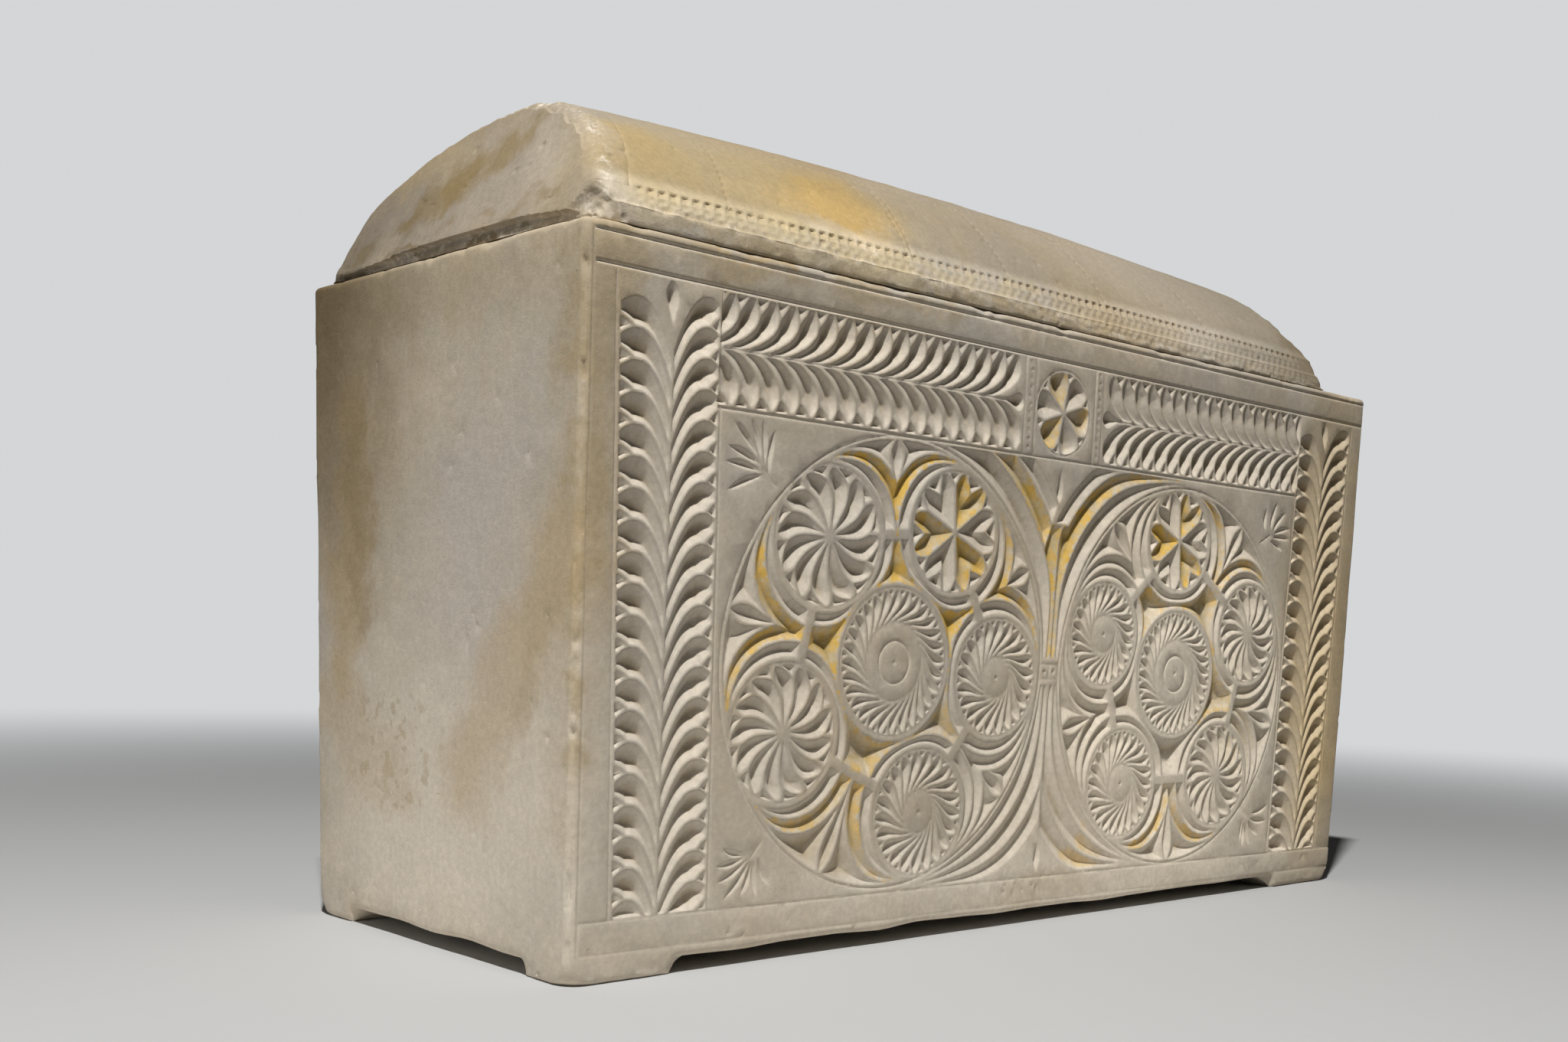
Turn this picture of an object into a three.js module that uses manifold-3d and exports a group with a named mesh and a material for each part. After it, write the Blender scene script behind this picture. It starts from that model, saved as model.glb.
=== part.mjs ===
// A limestone bone chest: a tapered box on four low feet, hollowed from one block,
// closed by a loose vaulted lid hollowed from another. The lid lies a little askew.
// Millimetres. X runs along the length, the carved face looks along -Y, Z points up,
// and the origin lies on the floor under the middle of the chest.

import * as THREE from "three";
import { mergeVertices } from "three/addons/utils/BufferGeometryUtils.js";
import Module from "manifold-3d";

// Chest, outside. Length and width are those of the rim.
const chestLength = 740;
const chestWidth = 290;
const chestHeight = 377;
const endBatter = 15;
const sideBatter = 13.5;
const arrisRadius = 8;
const chestEdgeRound = 3;

// Chest, inside
const endWall = 45;
const sideWall = 34;
const floorThickness = 42;
const cavityCornerRadius = 14;
const cavityDraft = 12;

// Feet, left standing where the underside is cut back
const footHeight = 8.5;
const leftFootLength = 66;
const rightFootLength = 80;
const footDepth = 40;
const footSlope = 7;

// Lid, outside. Length and width are those of its plinth.
const lidLength = 677;
const lidWidth = 268;
const lidHeight = 98;
const lidCornerRadius = 6;
const plinthHeight = 11;
const vaultFoot = 5;
const bandInset = 1;
const bandHeight = 12;
const backShoulderHeight = 32;
const endLean = 38;
const crestDrop = 9;

// Lid, inside
const lidEndWall = 42;
const lidSideWall = 34;
const hollowSideHeight = 16;
const hollowCrown = 38;

// Where the lid lies on the chest, from the middle of the rim
const seatGap = 0.3;
const lidShiftX = -28.5;
const lidShiftY = -10;

// Carved front: the frame of incised lines, by its distance from the rim, ends and floor
const frameTopMargin = 5;
const frameEndMargin = 5.5;
const panelTopMargin = 21.5;
const panelFoot = 29;
const lowerLine = 14;
const incisionWidth = 1.6;
const incisionDepth = 1.2;

// Carved front: the two upright palms
const palmEndMargin = 20.5;
const leftPalmWidth = 66.5;
const rightPalmWidth = 72.5;
const palmLeafDrop = 31;
const palmLeafBow = 5;
const palmTipDroop = 5;

// Carved front: the frieze of two lying fronds on either side of a small square field
const friezeHeight = 62.5;
const fieldWidth = 78;
const stripWidth = 9;
const friezeLeafDrop = 22;
const friezeLeafBow = 4;
const friezeTipDroop = 2;
const fieldRosetteRadius = 26;

// Carved front: leaves
const ridgeWidth = 1.2;
const leafDepth = 4;
const budLength = 22;
const budWidth = 9;

// Carved front: the two roundels of six rosettes
const leftRoundelX = -140;
const leftRoundelZ = 163;
const rightRoundelX = 137.5;
const rightRoundelZ = 160;
const roundelRadius = 129.5;
const rosetteOrbit = 90;
const rosetteRing = 39;
const middleRing = 44.5;
const ringBorder = 3.5;
const hubRadius = 11.5;
const middleHubRadius = 22.8;
const middleDiscRadius = 12;
const eyeRadius = 2;
const crescentWidth = 8;
const dartLength = 22;
const dartWidth = 8;
const bindingWidth = 14;
const bindingHeight = 9.7;
const sprigLength = 32;
const sprigWidth = 9;

// Carved front of the lid: a row of nicks along the top of its band
const nickPitch = 7.5;
const nickWidth = 5;
const nickHeight = 6;

// How far cutters run past what they cut
const overrun = 5;

// Facets
const arcSegments = 4;
const ringSegments = 20;
const roundelSegments = 32;
const vaultSegments = 10;
const vaultSteps = 8;

const wasm = await Module();
wasm.setup();

function bareGeometry(geometry) {
  const bare = geometry.clone();
  bare.deleteAttribute("normal");
  bare.deleteAttribute("uv");
  return bare;
}

function solidOf(geometry) {
  const merged = mergeVertices(bareGeometry(geometry));
  const vertProperties = merged.attributes.position.array;
  const triVerts = merged.index.array;
  return new wasm.Manifold(new wasm.Mesh({ numProp: 3, vertProperties, triVerts }));
}

function geometryOf(solid) {
  const mesh = solid.getMesh();
  const geometry = new THREE.BufferGeometry();
  geometry.setAttribute("position", new THREE.BufferAttribute(new Float32Array(mesh.vertProperties), 3));
  geometry.setIndex(new THREE.BufferAttribute(new Uint32Array(mesh.triVerts), 1));
  geometry.computeVertexNormals();
  return geometry;
}

function moveEachPoint(geometry, move) {
  const position = geometry.attributes.position;
  const point = new THREE.Vector3();
  for (let i = 0; i < position.count; i += 1) {
    point.fromBufferAttribute(position, i);
    move(point);
    position.setXYZ(i, point.x, point.y, point.z);
  }
  return geometry;
}

function roundedRectangle(length, width, radius) {
  const x = length / 2;
  const y = width / 2;
  const shape = new THREE.Shape();
  shape.moveTo(-x + radius, -y);
  shape.lineTo(x - radius, -y);
  shape.absarc(x - radius, -y + radius, radius, -Math.PI / 2, 0);
  shape.lineTo(x, y - radius);
  shape.absarc(x - radius, y - radius, radius, 0, Math.PI / 2);
  shape.lineTo(-x + radius, y);
  shape.absarc(-x + radius, y - radius, radius, Math.PI / 2, Math.PI);
  shape.lineTo(-x, -y + radius);
  shape.absarc(-x + radius, -y + radius, radius, Math.PI, (3 * Math.PI) / 2);
  return shape;
}

// A block with rounded upright arrises and edges, standing on z = 0
function roundedBlock(length, width, height, radius, edge) {
  const shape = roundedRectangle(length, width, radius);
  const geometry = new THREE.ExtrudeGeometry(shape, {
    depth: height - 2 * edge,
    curveSegments: arcSegments,
    bevelThickness: edge,
    bevelSize: edge,
    bevelOffset: -edge,
    bevelSegments: 2,
  });
  return geometry.translate(0, 0, edge);
}

// An upright prism through a rounded rectangle, standing on z = 0
function roundedPrism(length, width, height, radius) {
  const shape = roundedRectangle(length, width, radius);
  return new THREE.ExtrudeGeometry(shape, {
    depth: height,
    curveSegments: arcSegments,
    bevelEnabled: false,
  });
}

// Draws the walls of a block of the given plan in towards its foot at z = 0
function taper(geometry, length, width, height, endDraft, sideDraft) {
  return moveEachPoint(geometry, (point) => {
    const share = 1 - point.z / height;
    point.x *= 1 - (share * endDraft) / (length / 2);
    point.y *= 1 - (share * sideDraft) / (width / 2);
  });
}

// Extrudes an outline drawn in Y and Z along X, centred on x = 0
function alongX(shape, length, steps) {
  const geometry = new THREE.ExtrudeGeometry(shape, {
    depth: length,
    steps,
    curveSegments: vaultSegments,
    bevelEnabled: false,
  });
  return geometry.translate(0, 0, -length / 2).rotateX(Math.PI / 2).rotateZ(Math.PI / 2);
}

function cavity() {
  const length = chestLength - 2 * endWall;
  const width = chestWidth - 2 * sideWall;
  const depth = chestHeight - floorThickness;
  const block = roundedPrism(length, width, depth + overrun, cavityCornerRadius);
  taper(block, length, width, depth, cavityDraft, cavityDraft);
  return block.translate(0, 0, floorThickness);
}

// A cut under the base, open at both ends, that leaves a sloping foot on either side of it
function baseCut(from, to, length) {
  const shape = new THREE.Shape();
  shape.moveTo(from - (footSlope * overrun) / footHeight, -overrun);
  shape.lineTo(to + (footSlope * overrun) / footHeight, -overrun);
  shape.lineTo(to - footSlope, footHeight);
  shape.lineTo(from + footSlope, footHeight);
  return alongX(shape, length + 2 * overrun, 1);
}

function chestSolid() {
  const outside = roundedBlock(chestLength, chestWidth, chestHeight, arrisRadius, chestEdgeRound);
  taper(outside, chestLength, chestWidth, chestHeight, endBatter, sideBatter);
  const baseEnd = chestLength / 2 - endBatter;
  const baseSide = chestWidth / 2 - sideBatter;
  const underEnds = baseCut(-baseSide + footDepth, baseSide - footDepth, chestLength);
  const underSides = baseCut(-baseEnd + leftFootLength, baseEnd - rightFootLength, chestWidth);
  underSides.rotateZ(-Math.PI / 2);
  const block = solidOf(outside).subtract(solidOf(cavity()));
  return block.subtract(solidOf(underEnds)).subtract(solidOf(underSides));
}

const degrees = Math.PI / 180;

// How many leaves and petals there are
const palmLeaves = 20;
const friezeLeaves = 16;
const fieldPetals = 8;
const whirlPetals = 16;
const hubPetals = 24;
const middlePetals = 36;

// How wide a petal is cut, as a share of its room between its neighbours
const petalWidthShare = 0.9;
// How deep a flute is, as a share of half its width
const fluteDepthShare = 0.8;
// Where along a cut its sections lie, as shares of its length
const petalShares = [0.82];
const longPetalShares = [0.75];
const palmLeafShares = [0.35, 0.7, 1];
const friezeLeafShares = [0.5, 1];
const crescentShares = [0.3, 0.7];
// The share of a leaf's length by which it is cut to its full depth
const leafFullShare = 0.7;

const rosetteTwist = 18 * degrees;
const middleTwist = 9 * degrees;
const narrowPetalAngle = 12 * degrees;
const crescentStart = 46 * degrees;
const crescentStop = 112 * degrees;
const rimCrescentStart = 18 * degrees;
const dartSlant = 4.5 * degrees;
const bundleReach = 45 * degrees;
const sprigFan = 48 * degrees;

// A cutter that is a closed skin over three-cornered sections. Each section has its two
// upper corners above the face and its keel in the stone. A missing end runs out to a point.
// Points are (x, z) on the face, and depth goes along +Y.
function gouge(sections, start, end) {
  const places = [];
  const faces = [];
  for (const { a, b, depth } of sections) {
    const keel = a.clone().add(b).multiplyScalar(0.5);
    places.push(2 * a.x - keel.x, -depth, 2 * a.y - keel.y);
    places.push(keel.x, depth, keel.y);
    places.push(2 * b.x - keel.x, -depth, 2 * b.y - keel.y);
  }
  const corners = [0, 1, 2];
  for (let i = 0; i + 1 < sections.length; i += 1) {
    for (const corner of corners) {
      const next = (corner + 1) % 3;
      const low = 3 * i;
      const high = low + 3;
      faces.push(low + corner, low + next, high + corner);
      faces.push(low + next, high + next, high + corner);
    }
  }
  closeEnd(places, faces, 0, start, true);
  closeEnd(places, faces, 3 * (sections.length - 1), end, false);
  const geometry = new THREE.BufferGeometry();
  geometry.setAttribute("position", new THREE.Float32BufferAttribute(places, 3));
  geometry.setIndex(faces);
  return facingOut(geometry);
}

function closeEnd(places, faces, first, tip, isStart) {
  const [u, v, w] = isStart ? [first + 2, first + 1, first] : [first, first + 1, first + 2];
  if (!tip) {
    faces.push(u, v, w);
    return;
  }
  const apex = places.length / 3;
  places.push(tip.x, 0, tip.y);
  faces.push(u, v, apex, v, w, apex, w, u, apex);
}

// Turns a closed geometry's faces round if they look inwards
function facingOut(geometry) {
  const position = geometry.attributes.position;
  const index = geometry.index;
  const [a, b, c] = [new THREE.Vector3(), new THREE.Vector3(), new THREE.Vector3()];
  let volume = 0;
  for (let i = 0; i < index.count; i += 3) {
    a.fromBufferAttribute(position, index.getX(i));
    b.fromBufferAttribute(position, index.getX(i + 1));
    c.fromBufferAttribute(position, index.getX(i + 2));
    volume += a.dot(b.cross(c));
  }
  if (volume < 0) {
    for (let i = 0; i < index.count; i += 3) {
      const swapped = index.getX(i);
      index.setX(i, index.getX(i + 1));
      index.setX(i + 1, swapped);
    }
  }
  return geometry;
}

function polar(x, z, radius, angle) {
  return new THREE.Vector2(x + radius * Math.cos(angle), z + radius * Math.sin(angle));
}

// A straight V-shaped incision between two points
function incision(from, to) {
  const side = to.clone().sub(from).rotateAround(new THREE.Vector2(), Math.PI / 2);
  side.setLength(incisionWidth / 2);
  const section = (place) => {
    return { a: place.clone().add(side), b: place.clone().sub(side), depth: incisionDepth };
  };
  return gouge([section(from), section(to)]);
}

// A round V-shaped incision
function ringCut(x, z, radius, segments) {
  const half = incisionWidth / 2;
  const profile = [
    new THREE.Vector2(radius - 2 * half, -incisionDepth),
    new THREE.Vector2(radius + 2 * half, -incisionDepth),
    new THREE.Vector2(radius, incisionDepth),
    new THREE.Vector2(radius - 2 * half, -incisionDepth),
  ];
  const geometry = mergeVertices(bareGeometry(new THREE.LatheGeometry(profile, segments)));
  return facingOut(geometry).translate(x, 0, z);
}

// A flute along a curve, as wide as width at its middle and pointed at both ends
function flute(curve, width, depth, shares = [0.5]) {
  const quarterTurn = Math.PI / 2;
  const sections = shares.map((share) => {
    const swell = Math.sin(Math.PI * share);
    const side = curve.getTangent(share).rotateAround(new THREE.Vector2(), quarterTurn);
    side.setLength((swell * width) / 2);
    const place = curve.getPoint(share);
    return { a: place.clone().add(side), b: place.clone().sub(side), depth: swell * depth };
  });
  return gouge(sections, curve.getPoint(0), curve.getPoint(1));
}

function straightFlute(from, to, width) {
  return flute(new THREE.LineCurve(from, to), width, (fluteDepthShare * width) / 2);
}

function arcFlute(x, z, radius, from, to, width) {
  const curve = new THREE.EllipseCurve(x, z, radius, radius, from, to, to < from);
  return flute(curve, width, (fluteDepthShare * width) / 2, crescentShares);
}

// Petals that whirl round a middle and widen outwards. halfAngle is half of one petal's own angle.
function petals(x, z, hub, radius, angles, halfAngle, twist, shares) {
  return angles.map((angle) => {
    const bend = (share) => angle + twist * share ** 2;
    const section = (share) => {
      const reach = hub + share * (radius - hub);
      const half = halfAngle * petalWidthShare;
      const a = polar(x, z, reach, bend(share) + half);
      const b = polar(x, z, reach, bend(share) - half);
      return { a, b, depth: fluteDepthShare * reach * Math.sin(half) };
    };
    return gouge(shares.map(section), polar(x, z, hub, angle), polar(x, z, radius, bend(1)));
  });
}

function turns(count, start) {
  return Array.from({ length: count }, (unused, i) => start + (2 * Math.PI * i) / count);
}

// The three kinds of outer rosette: whirling from the middle, whirling round a plain hub,
// and the cross flower
const rosettes = {
  whirl: (x, z, reach) => {
    const angles = turns(whirlPetals, 0);
    return petals(x, z, eyeRadius, reach, angles, Math.PI / whirlPetals, rosetteTwist, longPetalShares);
  },
  hub: (x, z, reach) => {
    const angles = turns(hubPetals, 0);
    return petals(x, z, hubRadius, reach, angles, Math.PI / hubPetals, rosetteTwist, petalShares);
  },
  cross: crossFlower,
};

// Four broad petals on the diagonals and four narrow ones between them
function crossFlower(x, z, radius) {
  const broad = Math.PI / 4 - narrowPetalAngle;
  return [
    ...petals(x, z, eyeRadius, radius, turns(4, 0), narrowPetalAngle, 0, petalShares),
    ...petals(x, z, eyeRadius, radius, turns(4, Math.PI / 4), broad, 0, longPetalShares),
  ];
}

// A roundel: a middle rosette, five more on an orbit round it, and the flutes between them.
// around lists each outer rosette's angle and kind, in order.
function roundel(x, z, around) {
  const cuts = [ringCut(x, z, roundelRadius, roundelSegments)];
  const middleReach = middleRing - ringBorder;
  cuts.push(ringCut(x, z, middleRing, ringSegments));
  cuts.push(ringCut(x, z, middleDiscRadius, ringSegments / 2));
  const angles = turns(middlePetals, 0);
  const half = Math.PI / middlePetals;
  cuts.push(...petals(x, z, middleHubRadius, middleReach, angles, half, middleTwist, petalShares));
  around.forEach(({ angle, kind }, i) => {
    const place = polar(x, z, rosetteOrbit, angle);
    cuts.push(ringCut(place.x, place.y, rosetteRing, ringSegments));
    cuts.push(...rosettes[kind](place.x, place.y, rosetteRing - ringBorder));
    const nextAngle = i + 1 < around.length ? around[i + 1].angle : around[0].angle + 2 * Math.PI;
    cuts.push(...interstice(x, z, angle, nextAngle));
  });
  return cuts;
}

// The flutes between two neighbouring rosettes of a roundel
function interstice(x, z, angle, nextAngle) {
  const between = (angle + nextAngle) / 2;
  const first = polar(x, z, rosetteOrbit, angle);
  const second = polar(x, z, rosetteOrbit, nextAngle);
  const hug = rosetteRing + crescentWidth / 2 + ridgeWidth;
  const rim = roundelRadius - crescentWidth / 2;
  const inner = middleRing + crescentWidth / 2;
  const dartFoot = polar(x, z, roundelRadius - crescentWidth - dartLength, between);
  const dartTip = (angle) => polar(x, z, roundelRadius - crescentWidth, angle);
  return [
    arcFlute(first.x, first.y, hug, angle + crescentStart, angle + crescentStop, crescentWidth),
    arcFlute(second.x, second.y, hug, nextAngle - crescentStop, nextAngle - crescentStart, crescentWidth),
    arcFlute(x, z, rim, angle + rimCrescentStart, nextAngle - rimCrescentStart, crescentWidth / 2),
    straightFlute(dartFoot, dartTip(between + dartSlant), dartWidth),
    straightFlute(dartFoot, dartTip(between - dartSlant), dartWidth),
    straightFlute(polar(x, z, inner, between), polar(x, z, inner + dartLength, between), dartWidth),
  ];
}

// The upper edge of one leaf, from its root at the rib to its tip
function leafEdge(spread, drop, bow, droop) {
  const root = new THREE.Vector2(0, -drop);
  const shoulder = new THREE.Vector2(bow, 0);
  return new THREE.QuadraticBezierCurve(root, shoulder, new THREE.Vector2(spread, -droop));
}

// A frond of paired leaves. place turns a leaf's own coordinates, out from the rib and
// along it, into a point on the face. edge is the upper edge of a leaf.
function frond(place, length, count, edge, shares) {
  const pitch = length / count;
  const cuts = [];
  for (const side of [-1, 1]) {
    for (let k = 1; k <= count; k += 1) {
      const at = (share, along) => {
        const point = edge.getPoint(share);
        return place(side * (point.x + ridgeWidth / 2), Math.max(point.y + along, share * ridgeWidth));
      };
      const sections = shares.map((share) => ({
        a: at(share, k * pitch - ridgeWidth / 2),
        b: at(share, (k - 1) * pitch + ridgeWidth / 2),
        depth: leafDepth * Math.sin((Math.PI / 2) * Math.min(1, share / leafFullShare)),
      }));
      cuts.push(gouge(sections, at(0, k * pitch - pitch / 2)));
    }
  }
  cuts.push(straightFlute(place(0, length - budLength / 2), place(0, length + budLength / 2), budWidth));
  return cuts;
}

// Distances along the front shrink towards the foot as its ends draw in
function leanIn(x, z) {
  const share = 1 - z / chestHeight;
  return new THREE.Vector2(x * (1 - (share * endBatter) / (chestLength / 2)), z);
}

function palm(side, width) {
  const outer = chestLength / 2 - palmEndMargin;
  const rib = side * (outer - width / 2);
  const place = (out, along) => leanIn(rib + out, panelFoot + ridgeWidth + along);
  const length = chestHeight - panelTopMargin - panelFoot - budLength / 2;
  const edge = leafEdge(width / 2 - 2 * ridgeWidth, palmLeafDrop, palmLeafBow, palmTipDroop);
  return frond(place, length, palmLeaves, edge, palmLeafShares);
}

function friezeFrond(side, palmWidth) {
  const outer = chestLength / 2 - palmEndMargin - palmWidth;
  const length = outer - fieldWidth / 2 - budLength / 2;
  const rib = chestHeight - panelTopMargin - friezeHeight / 2;
  const place = (out, along) => leanIn(side * (outer - ridgeWidth - along), rib + out);
  const spread = friezeHeight / 2 - 2 * ridgeWidth;
  const edge = leafEdge(spread, friezeLeafDrop, friezeLeafBow, friezeTipDroop);
  return frond(place, length, friezeLeaves, edge, friezeLeafShares);
}

function frameLines() {
  const end = chestLength / 2 - frameEndMargin;
  const top = chestHeight - frameTopMargin;
  const panelTop = chestHeight - panelTopMargin;
  const friezeFoot = panelTop - friezeHeight;
  const line = (x0, z0, x1, z1) => incision(leanIn(x0, z0), leanIn(x1, z1));
  const inner = end - incisionWidth;
  const lines = [line(-end, top, end, top), line(-inner, lowerLine, inner, lowerLine)];
  for (const side of [-1, 1]) {
    const palmWidth = side < 0 ? leftPalmWidth : rightPalmWidth;
    const palmEdge = side * (chestLength / 2 - palmEndMargin - palmWidth);
    lines.push(line(side * end, lowerLine, side * end, top - incisionWidth));
    lines.push(line(palmEdge, panelFoot + incisionWidth, palmEdge, panelTop - incisionWidth));
    lines.push(line((side * fieldWidth) / 2, friezeFoot, (side * fieldWidth) / 2, panelTop - incisionWidth));
    const strip = side * (fieldWidth / 2 - stripWidth);
    lines.push(line(strip, friezeFoot, strip, panelTop - incisionWidth));
  }
  lines.push(line(-inner, panelTop, inner, panelTop));
  lines.push(line(-inner, panelFoot, inner, panelFoot));
  return lines;
}

// The bound bundle of long flutes between the two roundels
function bundle() {
  const cuts = [];
  const bow = roundelRadius + crescentWidth;
  const gap = bindingHeight / roundelRadius;
  const x = (leftRoundelX + rightRoundelX) / 2;
  const z = (leftRoundelZ + rightRoundelZ) / 2;
  const half = bindingWidth / 2;
  const friezeFoot = chestHeight - panelTopMargin - friezeHeight;
  for (const up of [-1, 1]) {
    const left = [up * gap, up * bundleReach];
    const right = left.map((angle) => Math.PI - angle);
    cuts.push(arcFlute(leftRoundelX, leftRoundelZ, bow, left[0], left[1], crescentWidth));
    cuts.push(arcFlute(rightRoundelX, rightRoundelZ, bow, right[0], right[1], crescentWidth));
    const edge = z + (up * bindingHeight) / 2;
    cuts.push(incision(new THREE.Vector2(x - half, edge), new THREE.Vector2(x + half, edge)));
    const end = up > 0 ? friezeFoot - ridgeWidth : panelFoot + ridgeWidth;
    const bud = new THREE.Vector2(x, end - up * budLength);
    cuts.push(straightFlute(new THREE.Vector2(x, edge + up * ridgeWidth), bud, crescentWidth));
    cuts.push(straightFlute(bud, new THREE.Vector2(x, end), budWidth));
  }
  return cuts;
}

// Three leaves between a roundel and the corner of its panel on the given sides
function sprig(x, z, sideX, sideZ) {
  const middle = Math.atan2(sideZ, sideX);
  const root = polar(x, z, roundelRadius + crescentWidth / 2, middle);
  const leaf = (angle) => straightFlute(root, polar(root.x, root.y, sprigLength, angle), sprigWidth);
  return [middle - sprigFan, middle, middle + sprigFan].map(leaf);
}

function frontCuts() {
  const fieldZ = chestHeight - panelTopMargin - friezeHeight / 2;
  const fieldHalf = Math.PI / fieldPetals;
  const fieldAngles = turns(fieldPetals, fieldHalf);
  const leftAround = [
    { angle: -154 * degrees, kind: "whirl" },
    { angle: -73 * degrees, kind: "hub" },
    { angle: -5 * degrees, kind: "hub" },
    { angle: 60 * degrees, kind: "cross" },
    { angle: 130 * degrees, kind: "whirl" },
  ];
  const rightAround = [
    { angle: -128 * degrees, kind: "hub" },
    { angle: -53 * degrees, kind: "whirl" },
    { angle: 20 * degrees, kind: "whirl" },
    { angle: 93 * degrees, kind: "cross" },
    { angle: 163 * degrees, kind: "hub" },
  ];
  return [
    ...frameLines(),
    ...palm(-1, leftPalmWidth),
    ...palm(1, rightPalmWidth),
    ...friezeFrond(-1, leftPalmWidth),
    ...friezeFrond(1, rightPalmWidth),
    ...petals(0, fieldZ, eyeRadius, fieldRosetteRadius, fieldAngles, fieldHalf, 0, petalShares),
    ...roundel(leftRoundelX, leftRoundelZ, leftAround),
    ...roundel(rightRoundelX, rightRoundelZ, rightAround),
    ...bundle(),
    ...sprig(leftRoundelX, leftRoundelZ, -1, 1),
    ...sprig(leftRoundelX, leftRoundelZ, -1, -1),
    ...sprig(rightRoundelX, rightRoundelZ, 1, 1),
    ...sprig(rightRoundelX, rightRoundelZ, 1, -1),
  ];
}

// Sets a cutter drawn on a flat front onto the battered one
function ontoFront(geometry) {
  return moveEachPoint(geometry, (point) => {
    point.y += -chestWidth / 2 + sideBatter * (1 - point.z / chestHeight);
  });
}

function carve(block) {
  const cutters = frontCuts().map((geometry) => solidOf(ontoFront(geometry)));
  return block.subtract(cutters.reduce((all, cutter) => all.add(cutter)));
}

// The arc of a circle that rises by rise over the middle of a chord of the given half length
function arcOver(halfChord, rise) {
  const radius = (halfChord ** 2 + rise ** 2) / (2 * rise);
  return { radius, angle: Math.asin(halfChord / radius) };
}

// The vault's outline in Y and Z. Its front springs from the top of the band,
// its back stands up to a higher, rounder shoulder.
function vaultOutline() {
  const side = lidWidth / 2 - bandInset;
  const spring = plinthHeight + bandHeight;
  const rise = lidHeight - spring;
  const arc = arcOver(side, rise);
  const shape = new THREE.Shape();
  shape.moveTo(-side, vaultFoot);
  shape.lineTo(side, vaultFoot);
  shape.lineTo(side, backShoulderHeight);
  shape.quadraticCurveTo(side, spring + rise / 2, side - rise / 2, spring + rise / 2 + bandHeight);
  shape.quadraticCurveTo(side / 3, lidHeight - bandInset, 0, lidHeight);
  shape.absarc(0, lidHeight - arc.radius, arc.radius, Math.PI / 2, Math.PI / 2 + arc.angle);
  return shape;
}

// Leans both ends in by lean over the given height and lets the top sink towards them
function leanEnds(geometry, length, bottom, height, lean, drop) {
  return moveEachPoint(geometry, (point) => {
    const along = point.x / (length / 2);
    const up = (point.z - bottom) / height;
    point.z -= up * drop * along ** 2;
    point.x -= along * lean * up;
  });
}

function hollowOutline() {
  const side = lidWidth / 2 - lidSideWall;
  const rise = lidHeight - hollowCrown - hollowSideHeight;
  const arc = arcOver(side, rise);
  const shape = new THREE.Shape();
  shape.moveTo(-side, -overrun);
  shape.lineTo(side, -overrun);
  shape.lineTo(side, hollowSideHeight);
  const middle = Math.PI / 2;
  shape.absarc(0, hollowSideHeight + rise - arc.radius, arc.radius, middle - arc.angle, middle + arc.angle);
  return shape;
}

function lidSolid() {
  const plinth = roundedPrism(lidLength, lidWidth, plinthHeight, lidCornerRadius);
  const vaultLength = lidLength - 2 * bandInset;
  const vault = alongX(vaultOutline(), vaultLength, vaultSteps);
  leanEnds(vault, vaultLength, vaultFoot, lidHeight - vaultFoot, endLean, crestDrop);
  const hollowLength = lidLength - 2 * lidEndWall;
  const hollow = alongX(hollowOutline(), hollowLength, 1);
  leanEnds(hollow, hollowLength, 0, lidHeight, endLean, 0);
  return nickBand(solidOf(plinth).add(solidOf(vault)).subtract(solidOf(hollow)));
}

// Cuts the row of nicks along the front of the lid
function nickBand(lid) {
  const top = plinthHeight + bandHeight;
  const reach = lidLength / 2 - endLean;
  const count = Math.floor((2 * reach) / nickPitch);
  const nicks = Array.from({ length: count }, (unused, i) => {
    const x = (i - (count - 1) / 2) * nickPitch;
    const nick = straightFlute(new THREE.Vector2(x, top - nickHeight), new THREE.Vector2(x, top), nickWidth);
    return solidOf(nick.translate(0, bandInset - lidWidth / 2, 0));
  });
  return lid.subtract(nicks.reduce((all, nick) => all.add(nick)));
}

function limestone(color) {
  return new THREE.MeshStandardMaterial({ color, roughness: 0.9, metalness: 0 });
}

function stonePiece(name, solid, color) {
  const mesh = new THREE.Mesh(geometryOf(solid), limestone(color));
  mesh.name = name;
  return mesh;
}

const ossuary = new THREE.Group();

const chest = stonePiece("chest", carve(chestSolid()), 0xcbbfa8);
ossuary.add(chest);

const lid = stonePiece("lid", lidSolid(), 0xdcc48e);
lid.position.set(lidShiftX, lidShiftY, chestHeight + seatGap);
ossuary.add(lid);

export default ossuary;
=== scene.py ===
"""A limestone chest with a chip-carved front, and the vaulted lid that lies askew on its rim."""

import math

import bpy
import numpy as np
from mathutils import Matrix, Vector


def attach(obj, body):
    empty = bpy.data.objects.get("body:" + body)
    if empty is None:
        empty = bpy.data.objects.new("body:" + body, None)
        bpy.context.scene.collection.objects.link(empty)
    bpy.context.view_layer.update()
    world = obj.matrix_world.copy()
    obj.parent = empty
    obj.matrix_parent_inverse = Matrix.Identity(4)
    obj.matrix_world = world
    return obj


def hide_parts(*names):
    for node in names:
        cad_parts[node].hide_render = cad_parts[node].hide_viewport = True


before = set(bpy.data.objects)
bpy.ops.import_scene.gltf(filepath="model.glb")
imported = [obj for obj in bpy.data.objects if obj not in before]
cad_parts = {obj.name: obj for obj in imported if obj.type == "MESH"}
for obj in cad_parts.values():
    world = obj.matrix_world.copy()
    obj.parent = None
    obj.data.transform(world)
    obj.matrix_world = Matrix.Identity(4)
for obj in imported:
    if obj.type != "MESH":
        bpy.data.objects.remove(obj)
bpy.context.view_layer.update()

MM = 0.001
TAU = 2 * math.pi

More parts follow.
